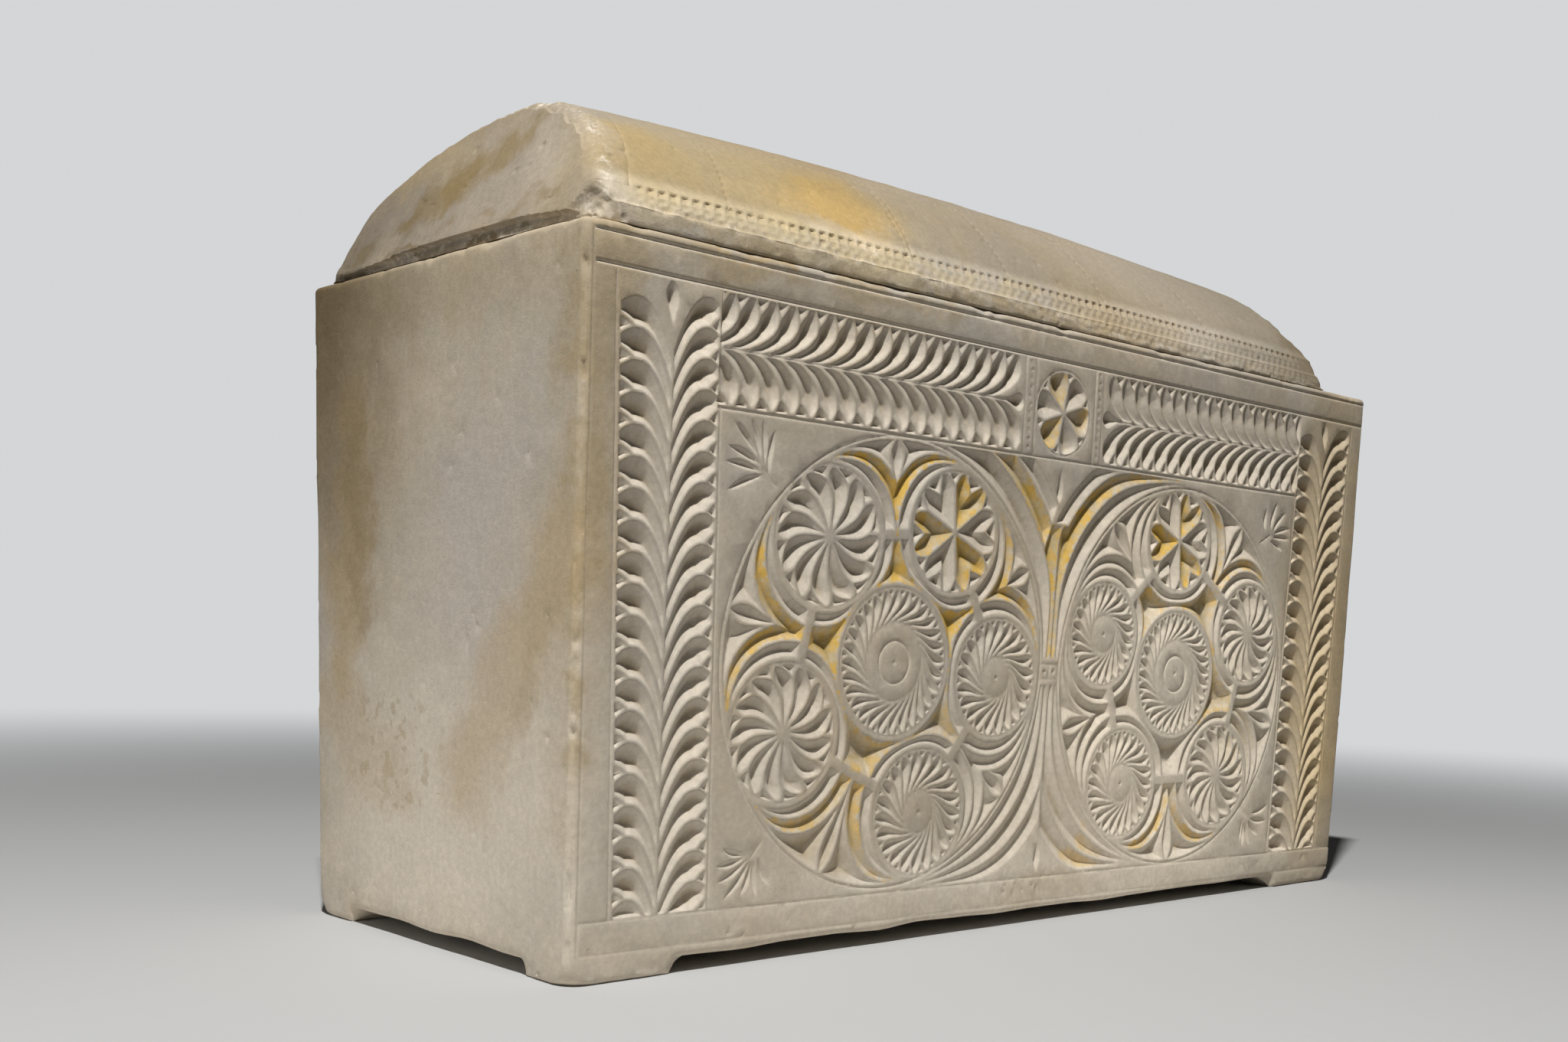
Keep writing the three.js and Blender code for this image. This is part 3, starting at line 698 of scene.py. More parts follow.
def build(name, rings, first, last, triangles):
    """A closed mesh of rings between two end points, thinned to so many triangles."""
    count, around = rings.shape[:2]
    points = np.concatenate([rings.reshape(-1, 3), [first, last]]) * MM
    i = np.arange(around)
    j = (i + 1) % around
    start = np.arange(count - 1)[:, None] * around
    quads = np.stack([start + i, start + j, start + around + j, start + around + i], 2)
    quads = quads.reshape(-1, 4)
    tip = np.full(around, count * around)
    low = np.stack([j, i, tip], 1)
    high = np.stack([i + (count - 1) * around, j + (count - 1) * around, tip + 1], 1)
    corners = np.concatenate([quads.ravel(), low.ravel(), high.ravel()])
    sizes = np.concatenate([np.full(len(quads), 4), np.full(2 * around, 3)])
    mesh = bpy.data.meshes.new(name)
    mesh.vertices.add(len(points))
    mesh.vertices.foreach_set("co", points.ravel())
    mesh.loops.add(len(corners))
    mesh.loops.foreach_set("vertex_index", corners.astype(np.int32))
    mesh.polygons.add(len(sizes))
    starts = np.concatenate([[0], np.cumsum(sizes)[:-1]])
    mesh.polygons.foreach_set("loop_start", starts.astype(np.int32))
    mesh.update(calc_edges=True)
    mesh.validate()
    piece = put(name, mesh)
    thin = piece.modifiers.new("thin", "DECIMATE")
    thin.ratio = min(1.0, triangles / (2 * len(quads) + 2 * around))
    thinned = piece.evaluated_get(bpy.context.evaluated_depsgraph_get())
    shape = bpy.data.meshes.new_from_object(thinned)
    piece.modifiers.clear()
    piece.data = shape
    bpy.data.meshes.remove(mesh)
    shape.name = name
    at = np.empty(3 * len(shape.vertices))
    shape.vertices.foreach_get("co", at)
    # Nothing reaches below the ground
    at[2::3] = most(at[2::3], 0)
    shape.vertices.foreach_set("co", at)
    shape.polygons.foreach_set("use_smooth", np.ones(len(shape.polygons), bool))
    shape.set_sharp_from_angle(angle=math.radians(35))
    return piece


def places(piece):
    """The piece's vertices in millimetres."""
    mesh = piece.data
    at = np.empty(3 * len(mesh.vertices))
    mesh.vertices.foreach_get("co", at)
    return at.reshape(-1, 3) / MM


def note(piece, name, values):
    """Keep a number for each vertex, for the shader."""
    field = piece.data.attributes.new(name, "FLOAT", "POINT")
    field.data.foreach_set("value", np.asarray(values, np.float32))


def steps(low, high, step):
    """Numbers from low to high, no more than a step apart."""
    return np.linspace(low, high, max(2, int(math.ceil(abs(high - low) / step)) + 1))


# The chest


def around_chest():
    """The loop round the chest, front first: its place on each side from -1 to 1, and its
    way out."""
    sides = [
        # (from, to, step, outward)
        ((-1, -1), (1, -1), FINE, (0, -1)),
        ((1, -1), (1, 1), END_STEP, (1, 0)),
        ((1, 1), (-1, 1), COARSE, (0, 1)),
        ((-1, 1), (-1, -1), END_STEP, (-1, 0)),
    ]
    spots, outs = [], []
    for start, stop, step, out in sides:
        length = FRONT_RUN if start[1] == stop[1] else END_RUN
        for t in steps(0, 1, step / length):
            spots.append((lerp(start[0], stop[0], t), lerp(start[1], stop[1], t)))
            outs.append(out)
        turn = math.atan2(out[1], out[0])
        for n in range(1, BENDS):
            angle = turn + math.pi / 2 * n / BENDS
            spots.append(stop)
            outs.append((math.cos(angle), math.sin(angle)))
    return np.array(spots, float), np.array(outs, float)


def under_chest(x, y):
    """How high the underside is: the four corners stand on the ground."""
    end = HALF_LENGTH - END_BATTER
    along = least(x + end - FOOT_LEFT, end - FOOT_RIGHT - x)
    across = HALF_WIDTH - SIDE_BATTER - FOOT_DEPTH - np.abs(y)
    uneven = FOOT_HEIGHT + 1.3 * noise(np.stack([x, y, 0 * x], -1), 34, 24)
    return uneven * smooth(most(along, across), -3, FOOT_SLOPE + 3)


def ring_at(spots, outs, half_x, half_y, corner):
    """The loop on a rectangle of those half sizes with rounded corners."""
    middle = spots * np.stack([half_x - corner, half_y - corner], -1)
    return middle + outs * np.reshape(corner, (-1, 1))


def chest_rings():
    """The chest's loops from the middle of its underside, up the wall, over the rim and down
    to the middle of the cavity's floor."""
    spots, outs = around_chest()
    rings = []

    def outer(z, inset=0.0):
        """The wall's loop at heights z, one for each place round the chest."""
        fall = 1 - z / HEIGHT
        half_x = HALF_LENGTH - END_BATTER * fall - inset
        half_y = HALF_WIDTH - SIDE_BATTER * fall - inset
        corner = ARRIS + FOOT_WORN * np.clip(1 - z / FOOT_WORN_HEIGHT, 0, 1) ** 2 - inset * 0.5
        return np.column_stack([ring_at(spots, outs, half_x, half_y, corner), z])

    zeros = np.zeros(len(spots))
    foot = outer(zeros)
    edge = under_chest(foot[:, 0], foot[:, 1])
    base = outer(edge, BASE_ROUND)
    for share in np.linspace(0.03, 0.985, 30):
        ring = base * [share, share, 1]
        ring[:, 2] = under_chest(ring[:, 0], ring[:, 1])
        rings.append(ring)
    rings.append(base)
    first_wall = len(rings)
    for bend in (0.3, 0.7, 1.0):
        lift, inset = 1 - math.cos(bend * math.pi / 2), 1 - math.sin(bend * math.pi / 2)
        rings.append(outer(edge + BASE_ROUND * lift, BASE_ROUND * inset))
    top = HEIGHT - RIM_ROUND
    for share in steps(0, 1, (0.7) / HEIGHT):
        rings.append(outer(lerp(edge + BASE_ROUND + 0.1, top, share)))
    for bend in (0.2, 0.4, 0.6, 0.8, 1.0):
        lift, inset = math.sin(bend * math.pi / 2), 1 - math.cos(bend * math.pi / 2)
        rings.append(outer(zeros + top + RIM_ROUND * lift, RIM_ROUND * inset))
    last_wall = len(rings)

    def inner(z):
        fall = (1 - (z - FLOOR) / (HEIGHT - FLOOR)) * CAVITY_DRAFT
        half_x = HALF_LENGTH - END_WALL - fall
        half_y = HALF_WIDTH - SIDE_WALL - fall
        return np.column_stack([ring_at(spots, outs, half_x, half_y, CAVITY_CORNER), zeros + z])

    rim_in = inner(HEIGHT - 1.5)
    rim_top = inner(HEIGHT)
    rim_top[:, :2] += outs * 1.5
    for share in steps(0.06, 1, 0.08):
        rings.append(lerp(rings[last_wall - 1], rim_top, share))
    last_rim = len(rings)
    rings.append(rim_in)
    for z in steps(HEIGHT - 8, FLOOR, 12):
        rings.append(inner(z))
    bottom = rings[-1]
    for share in (0.97, 0.85, 0.6, 0.3, 0.06):
        rings.append(bottom * [share, share, 1])
    rings = np.array(rings)
    hew(rings, outs, first_wall, last_wall, last_rim)
    return rings


def hew(rings, outs, first_wall, last_wall, last_rim):
    """Cut the carving, the pits and the wear into the outer faces."""
    wall = rings[first_wall:last_wall]
    shape = wall.shape[:2]
    p = wall.reshape(-1, 3)
    out = np.broadcast_to(outs, shape + (2,)).reshape(-1, 2)
    x, z = p[:, 0], p[:, 2]
    front = smooth(-out[:, 1], 0.15, 0.6)
    depth = relief.at(relief.depth, x, z) * front
    depth += wear_of_chest(p, out)
    depth *= most(smooth(z, -1, 4), 0.3)
    p[:, :2] -= out * depth[:, None]
    rings[first_wall:last_wall] = p.reshape(wall.shape)
    rim = rings[last_wall:last_rim]
    q = rim.reshape(-1, 3)
    q[:, 2] -= 0.5 + 0.45 * noise(q, 26, 71) + 0.9 * pits(q, 7, 0.12, 72)
    rings[last_wall:last_rim] = q.reshape(rim.shape)


def wear_of_chest(p, out):
    """How much of the stone is worn off each place of the walls."""
    x, z = p[:, 0], p[:, 2]
    worn = 0.45 + 0.45 * noise(p, 45, 11) + 0.2 * noise(p, 12, 12)
    front = smooth(-out[:, 1], 0.4, 0.9)
    worn = worn * (1 - 0.6 * front)
    # The arrises are chipped, most of all the one between the front and the left end
    corner = np.clip(4 * out[:, 0] ** 2 * out[:, 1] ** 2, 0, 1)
    chips = np.clip(noise(p, 16, 21) + 0.5 * noise(p, 5, 22) - 0.15, 0, 1)
    left_front = (out[:, 0] < 0) & (out[:, 1] < 0)
    worn += corner * np.where(left_front, 3.0, 2.0) * chips
    worn += corner * 0.5 * pits(p, 3.0, 0.2, 23)
    # The upper and lower edges of the walls
    edge = most(smooth(z, HEIGHT - 9, HEIGHT), smooth(-z, -11, -1))
    worn += edge * 1.8 * np.clip(noise(p, 14, 31) + 0.4 * noise(p, 5, 32) - 0.1, 0, 1)
    # Pits, thick along the foot of the front and over the ends
    foot = smooth(-z, -34, -10)
    worn += (0.05 + 0.95 * foot) * pits(p, 4.5, 0.09, 41)
    rough = np.exp(-(((x + 18) / 42) ** 2) - ((z - 24) / 12) ** 2)
    worn += front * rough * (pits(p, 4, 0.5, 42) + 0.5 * np.clip(noise(p, 6, 43), 0, 1))
    left = smooth(-out[:, 0], 0.4, 0.9)
    drips = np.clip(noise(p * [1, 1, 0.4], 9, 46) - 0.2, 0, 1)
    worn += left * (0.7 * pits(p, 3.2, 0.015, 44) + 0.3 * drips)
    # The chip out of the rim over the middle of the front
    chip = np.hypot((x + 5) / 7, (z - HEIGHT) / 4.5) + 0.15 * noise(p, 4, 45)
    worn += front * 2.6 * np.clip(1.1 - chip, 0, 1)
    return most(worn, 0.02)


# The lid


def vault():
    """The lid's section from its front foot over to its back foot, as places (y, z)."""
    spring = PLINTH + BAND
    rise = LID_HEIGHT - spring
    side = LID_WIDTH / 2 - BAND_INSET
    radius = (side**2 + rise**2) / (2 * rise)
    line = [(-LID_WIDTH / 2, z) for z in steps(1.2, PLINTH - 0.8, 0.8)]
    line += [(-side - 0.35, PLINTH - 0.1), (-side, PLINTH + 0.6)]
    line += [(-side, z) for z in steps(PLINTH + 1.2, spring, 0.7)]
    reach = math.asin(side / radius)
    for angle in steps(reach, 0, (1.3) / radius)[1:]:
        line.append((-radius * math.sin(angle), LID_HEIGHT - radius + radius * math.cos(angle)))
    crown = (0.0, LID_HEIGHT)
    upper = (side - rise / 2, spring + rise / 2 + BAND)
    count = 34
    line += curve(crown, (side / 3, LID_HEIGHT - 1), upper, count)[1:]
    line += curve(upper, (side, spring + rise / 2), (side, SHOULDER), count)[1:]
    line += [(side, z) for z in steps(SHOULDER - 2, PLINTH + 0.8, 2.5)]
    line.append((side + 0.8, PLINTH - 0.3))
    line += [(LID_WIDTH / 2, z) for z in steps(PLINTH - 1.5, 1.2, 2)]
    return np.array(line)


def curve(a, b, c, count):
    """A curve from a to c drawn towards b."""
    shares = [((1 - t) ** 2, 2 * t * (1 - t), t * t) for t in np.linspace(0, 1, count)]
    return [tuple(i * a[n] + j * b[n] + k * c[n] for n in (0, 1)) for i, j, k in shares]


def underside():
    """Places (y, height in the hollow) across the lid's underside, back to front."""
    rise = LID_HEIGHT - HOLLOW_CROWN - HOLLOW_SIDE
    half = LID_WIDTH / 2 - LID_SIDE_WALL
    radius = (half**2 + rise**2) / (2 * rise)
    line = [(y, 0.0) for y in steps(LID_WIDTH / 2 - 1.2, half + 0.6, 9)]
    line += [(half - 0.2, 1.5), (half - 0.2, HOLLOW_SIDE)]
    reach = math.asin(half / radius)
    centre = LID_HEIGHT - HOLLOW_CROWN - radius
    for angle in steps(-reach, reach, 0.09)[1:-1]:
        line.append((-radius * math.sin(angle), centre + radius * math.cos(angle)))
    line += [(-half + 0.2, HOLLOW_SIDE), (-half + 0.2, 1.5)]
    line += [(y, 0.0) for y in steps(-half - 0.6, -LID_WIDTH / 2 + 1.2, 9)]
    return np.array(line)


def section_outs(line):
    """The way out of the section at each of its places."""
    way = np.gradient(line, axis=0)
    out = np.stack([-way[:, 1], way[:, 0]], 1)
    return out / np.linalg.norm(out, axis=1, keepdims=True)


def up_the_vault(z):
    """The share of the vault's height."""
    return most((z - VAULT_FOOT) / (LID_HEIGHT - VAULT_FOOT), 0)


def lean(p):
    """Draw the ends in and the crest down towards the ends, as the lid is hewn."""
    along = p[..., 0] / LID_HALF
    up = up_the_vault(p[..., 2])
    p[..., 2] -= up * CREST_DROP * along**2
    p[..., 0] -= along * END_LEAN * up


def lid_rings():
    """The lid's loops from its left end to its right, each over the vault and back through
    the hollow."""
    top = vault()
    outs = section_outs(top)
    below = underside()
    near = [LID_HALF - d for d in (0.0, 0.25, 0.9, 1.9, 3.2, 4.6)]
    between = list(steps(-LID_HALF + 6, LID_HALF - 6, 0.85))
    stations = [-s for s in near] + between + near[::-1]
    rings = []
    for s in stations:
        in_round = LID_ROUND - min(LID_HALF - abs(s), LID_ROUND)
        inset = LID_ROUND - math.sqrt(max(0.0, LID_ROUND**2 - in_round**2))
        outer = np.column_stack([np.full(len(top), s), top - outs * inset])
        inside = 1.0 if abs(s) < LID_HALF - LID_END_WALL else 0.0
        flat = np.column_stack([np.full(len(below), s), below * [1, inside]])
        rings.append(np.concatenate([outer, flat]))
    rings = np.array(rings)
    wear_lid(rings, outs, len(top))
    lean(rings)
    rings = np.concatenate([end_rings(rings[0], -1)[::-1], rings, end_rings(rings[-1], 1)])
    return break_corner(rings.reshape(-1, 3)).reshape(rings.shape) + LID_SHIFT


def end_rings(edge, side):
    """Rings that close an end of the lid, drawn together to a place in its middle."""
    middle = np.array([0.0, -5.0, 38.0])
    rings = []
    for share in steps(0.985, 0.015, 0.02):
        ring = edge * share + middle * (1 - share)
        y, z = ring[:, 1], ring[:, 2]
        ring[:, 0] = side * (LID_HALF - END_LEAN * up_the_vault(z))
        worn = 0.7 + 0.7 * noise(ring, 30, 81 + side) + 0.25 * noise(ring, 9, 82)
        worn = worn + 1.2 * pits(ring, 7, 0.12, 83)
        if side < 0:
            # The foot of the left end is cut back under the face
            reach = 3.0 + 6.0 * smooth(y, 125, 20) * smooth(y, -150, -60)
            reach += 0.8 * noise(ring, 16, 84)
            worn = worn + 4.5 * smooth(reach - z, -0.6, 0.9)
        ring[:, 0] -= side * most(worn, 0.05)
        rings.append(ring)
    return np.array(rings)


BREAK_WAY = np.array([-0.74, -0.64, -0.20])
BREAK_WAY /= math.sqrt(0.74**2 + 0.64**2 + 0.20**2)
BREAK_AT = np.array([-327.0, -127.5, 14.0])


def break_corner(p):
    """The lid's lower front corner at the left is broken off."""
    over = (p - BREAK_AT) @ BREAK_WAY + 1.2 * noise(p, 9, 91) + 0.7 * noise(p, 4, 92)
    return p - most(over, 0)[:, None] * BREAK_WAY


def wear_lid(rings, outs, top_count):
    """The chip-cut band, the pecked lines and the wear of the lid's outside."""
    outer = rings[:, :top_count]
    p = outer.reshape(-1, 3).copy()
    out = np.broadcast_to(outs, outer.shape[:2] + (2,)).reshape(-1, 2)
    worn = 0.5 + 0.45 * noise(p, 38, 51) + 0.2 * noise(p, 11, 52) + 0.9 * pits(p, 7, 0.1, 53)
    ends = smooth(np.abs(p[:, 0]), LID_HALF - 12, LID_HALF)
    worn += ends * (1.5 + 1.8 * noise(p, 11, 54) + 0.9 * noise(p, 4, 55))
    depth = most(worn, 0.05) + (band_cuts(p) + pecked_lines(p))
    p[:, 1:] -= out * depth[:, None]
    p[:, 1] += slant(p)
    rings[:, :top_count] = p.reshape(outer.shape)


def band_foot(x):
    """How high the lower edge of the chip-cut band lies; it sinks towards the right."""
    return np.interp(x, [-308, -144, -26, 78, 195, 273], [10.7, 10.4, 7.7, 3.6, 3.0, 1.2])


def slant(p):
    """How far the front lies back: the band leans with the vault, from its foot up to the
    nicks."""
    x, y, z = p.T
    foot = band_foot(x)
    share = np.clip((z - foot) / (NICK_TOP - foot), 0, 1) * smooth(LID_HEIGHT - z, 0, 55)
    return np.where(y < 0, BAND_SLANT * share, 0)


def band_cuts(p):
    """The row of nicks along the foot of the vault's front and the bead marks under it."""
    x, y, z = p.T
    front = (y < -95) & (z < 60)
    x = x + 0.5 * noise(p * [1, 0, 0], 23, 61)
    aside = np.abs((x / NICK_PITCH) % 1.0 - 0.5) * NICK_PITCH
    # A nick is steep above and runs out to a point below
    drop = NICK_TOP - z
    nick = np.where(drop > 0, 1 - drop / 4.6, 1 + drop / 1.2)
    cut = 2.0 * np.clip(least(nick, 1 - aside / 3.4), 0, 1)
    foot = band_foot(x)
    for row, height in enumerate((16.2, 12.6, 9.0, 5.6)):
        t = (x / NICK_PITCH + 0.5 * (row % 2)) % 1.0
        bead = most(np.abs((t - 0.5) * NICK_PITCH) / 2.6, np.abs(z - height) / 1.9)
        shape = np.clip(1.25 - bead**1.5, 0, 1)
        cut = most(cut, 0.6 * shape * smooth(height - foot, 0.8, 2.4))
    cut = cut * (0.75 + 0.35 * noise(p, 20, 62)) * smooth(x, -325, -300) * smooth(-x, -325, -300)
    # The edge between the band and the plain foot is worn
    edge = np.exp(-(((z - foot) / 2.2) ** 2)) * np.clip(noise(p, 7, 63) + 0.5, 0, 1)
    return np.where(front, cut + 0.9 * edge, 0.0)


CROSS_LINES = (-253.5, -115.5, -111.0, -23.5, 76.5, 196.5)
# How far apart the pecks lie: degrees over the vault, of so many millimetres, and along it
PECK_ARC = 2.3
DEGREE = 2.7
PECK_PITCH = 7.0


def pecked_lines(p):
    """Dotted lines pecked over the vault and one along it, and a fine line beside the left
    arris."""
    x, y, z = p.T
    cut = np.zeros(len(p))
    over = (y < 60) & (z > 21)
    drift = 1.2 * noise(p * [0, 1, 1], 40, 64)
    arc = np.degrees(np.arctan2(y, z + 57))
    for n, line in enumerate(CROSS_LINES):
        t = (arc / PECK_ARC + 0.37 * n) % 1.0
        peck = np.hypot((x - line - drift) / 1.3, (t - 0.5) * PECK_ARC * DEGREE / 2.0)
        cut = most(cut, 0.85 * np.clip(1 - peck**2, 0, 1))
    ways = y + 80 + 1.2 * noise(p * [1, 0, 0], 50, 65)
    t = (x / PECK_PITCH) % 1.0
    peck = np.hypot(ways / 1.3, (t - 0.5) * PECK_PITCH / 2.2)
    cut = most(cut, 0.8 * np.clip(1 - peck**2, 0, 1) * smooth(x, -270, -230))
    cut = np.where(over, cut, 0.0)
    line = np.abs(x + 317 + noise(p * [0, 1, 1], 30, 66))
    cut = most(cut, np.where(over, 0.5 * np.clip(1 - line / 0.9, 0, 1), 0))
    # Stray pecks at the foot of the double line
    rough = np.exp(-(((x + 113) / 7) ** 2) - ((z - 27) / 9) ** 2)
    return cut + rough * 1.4 * pits(p, 3.5, 0.5, 67) * (z > 21)


carve_front()

chest = build(
    "carved_chest", chest_rings(), (0, 0, FOOT_HEIGHT), (0, 0, FLOOR), CHEST_TRIANGLES
)
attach(chest, "chest")
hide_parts("chest")

rings_of_lid = lid_rings()
left_end, right_end = rings_of_lid[0].mean(0), rings_of_lid[-1].mean(0)
lid = build("vaulted_lid", rings_of_lid, left_end, right_end, LID_TRIANGLES)
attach(lid, "lid")
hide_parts("lid")


# Limestone


class Look:
    """A material built of nodes. Places and sizes in it are millimetres."""

    def __init__(self, name):
        self.material = bpy.data.materials.new(name)
        self.material.use_nodes = True
        self.tree = self.material.node_tree
        self.surface = self.tree.nodes["Principled BSDF"]
        where = self.add("ShaderNodeTexCoord")
        self.place = self.vector("SCALE", where.outputs["Object"], scale=1 / MM)
        wobble = self.noise(34, 4, 0.6, "Color")
        wobble = self.vector("SUBTRACT", wobble, (0.5, 0.5, 0.5))
        self.ragged = self.vector("ADD", self.place, self.vector("SCALE", wobble, scale=60))

    def add(self, kind, inputs=None, **settings):
        node = self.tree.nodes.new(kind)
        for name, value in settings.items():
            setattr(node, name, value)
        return self.fill(node, inputs or {})

    def fill(self, node, inputs):
        for name, value in inputs.items():
            self.feed(node.inputs[name], value)
        return node

    def feed(self, socket, value):
        if isinstance(value, bpy.types.NodeSocket):
            self.tree.links.new(value, socket)
        elif socket.type == "RGBA" and len(value) == 3:
            socket.default_value = (*value, 1)
        else:
            socket.default_value = value

    def vector(self, operation, first, second=None, scale=None):
        given = {0: first, 1: second, "Scale": scale}
        given = {name: value for name, value in given.items() if value is not None}
        node = self.add("ShaderNodeVectorMath", given, operation=operation)
        return node.outputs["Value" if operation in ("LENGTH", "DOT_PRODUCT") else "Vector"]

    def maths(self, operation, first, second):
        return self.add("ShaderNodeMath", {0: first, 1: second}, operation=operation).outputs[0]

    def times(self, first, second):
        return self.maths("MULTIPLY", first, second)

    def noise(self, size, detail=3.0, rough=0.5, output="Fac"):
        given = {"Vector": self.place, "Scale": 1 / size, "Detail": detail, "Roughness": rough}
        return self.add("ShaderNodeTexNoise", given).outputs[output]

    def ramp(self, value, low, high, to_low=0.0, to_high=1.0):
        """A smooth step from to_low where the value is low to to_high where it is high."""
        given = {"Value": value, "From Min": low, "From Max": high, "To Min": to_low, "To Max": to_high}
        node = self.add("ShaderNodeMapRange", given, interpolation_type="SMOOTHSTEP")
        return node.outputs["Result"]

    def patches(self, size, low, high, detail=4.0, rough=0.6):
        return self.ramp(self.noise(size, detail, rough), low, high)

    def blob(self, centre, radii, soft=0.75):
        """1 in the middle of a ragged patch, 0 outside it."""
        away = self.vector("DIVIDE", self.vector("SUBTRACT", self.ragged, centre), radii)
        return self.ramp(self.vector("LENGTH", away), 1.0, 1.0 - soft)

    def streak(self, start, end, width):
        """1 along a ragged line from start to end, 0 farther off than width."""
        way = Vector(end) - Vector(start)
        from_start = self.vector("SUBTRACT", self.ragged, start)
        share = self.vector("DOT_PRODUCT", from_start, tuple(way / way.length_squared))
        share = self.maths("MINIMUM", self.maths("MAXIMUM", share, 0.0), 1.0)
        away = self.vector("SUBTRACT", from_start, self.vector("SCALE", tuple(way), scale=share))
        return self.ramp(self.vector("LENGTH", away), width, width * 0.25)

    def mix(self, share, below, above, blend="MIX"):
        given = {0: share, 6: below, 7: above}
        return self.add("ShaderNodeMix", given, data_type="RGBA", blend_type=blend).outputs[2]

    def stains(self, colour, rows):
        """Lay each row's tone over the colour: tone, strength, the patch's centre and radii."""
        for tone, strength, centre, radii in rows:
            colour = self.mix(self.times(self.blob(centre, radii), strength), colour, tone)
        return colour

    def runs(self, colour, rows):
        """Lay each row's tone along a line: tone, strength, the line's start, end and width."""
        for tone, strength, start, end, width in rows:
            colour = self.mix(self.times(self.streak(start, end, width), strength), colour, tone)
        return colour

    def tint(self, colour, tint, centre, radii, soft):
        return self.mix(self.blob(centre, radii, soft), colour, tint, "MULTIPLY")

    def known(self, name):
        return self.add("ShaderNodeAttribute", attribute_name=name).outputs["Fac"]


CREAM = (0.57, 0.50, 0.40)
WARM = (0.52, 0.42, 0.28)
GREY = (0.51, 0.465, 0.395)
LILAC = (0.54, 0.49, 0.435)
TAN = (0.41, 0.32, 0.19)
DARK_TAN = (0.29, 0.215, 0.115)
OCHRE = (0.46, 0.33, 0.16)
CHALK = (0.70, 0.635, 0.54)
YELLOW = (0.72, 0.47, 0.11)
# The paint's tone in the deep cuts, darkened there as painted shade
SHADED_DEEP_YELLOW = (0.36, 0.26, 0.07)
PALE_YELLOW = (0.60, 0.49, 0.29)
OLIVE = (0.41, 0.315, 0.155)


def stone(look, warm_share):
    """The plain stone: cream with greyer and warmer clouds and fine specks."""
    colour = look.mix(look.patches(70, 0.35, 0.65), CREAM, GREY)
    colour = look.mix(look.ramp(look.noise(120, 3), 0.45, 0.7, 0, warm_share), colour, WARM)
    return look.mix(look.times(look.patches(14, 0.5, 0.75, 5), 0.22), colour, TAN)


def finish(look, colour, grain):
    """Specks, grain and the dull surface of the stone."""
    specks = look.ramp(look.noise(1.6, 2, 0.6), 0.70, 0.80)
    colour = look.mix(look.times(specks, 0.35), colour, DARK_TAN)
    light = look.ramp(look.noise(3.5, 4, 0.7), 0.3, 0.75, 0.90, 1.07)
    rough, coarse = look.noise(1.1, 5, 0.7), look.noise(6.0, 4, 0.6)
    height = look.maths("ADD", rough, look.times(coarse, 1.5))
    bump = look.add("ShaderNodeBump", {"Strength": grain, "Distance": 0.5 * MM, "Height": height})
    look.fill(look.surface, {
        "Base Color": look.vector("SCALE", colour, scale=light),
        "Roughness": 0.88,
        "Specular IOR Level": 0.25,
        "Normal": bump.outputs["Normal"],
    })
    return look.material


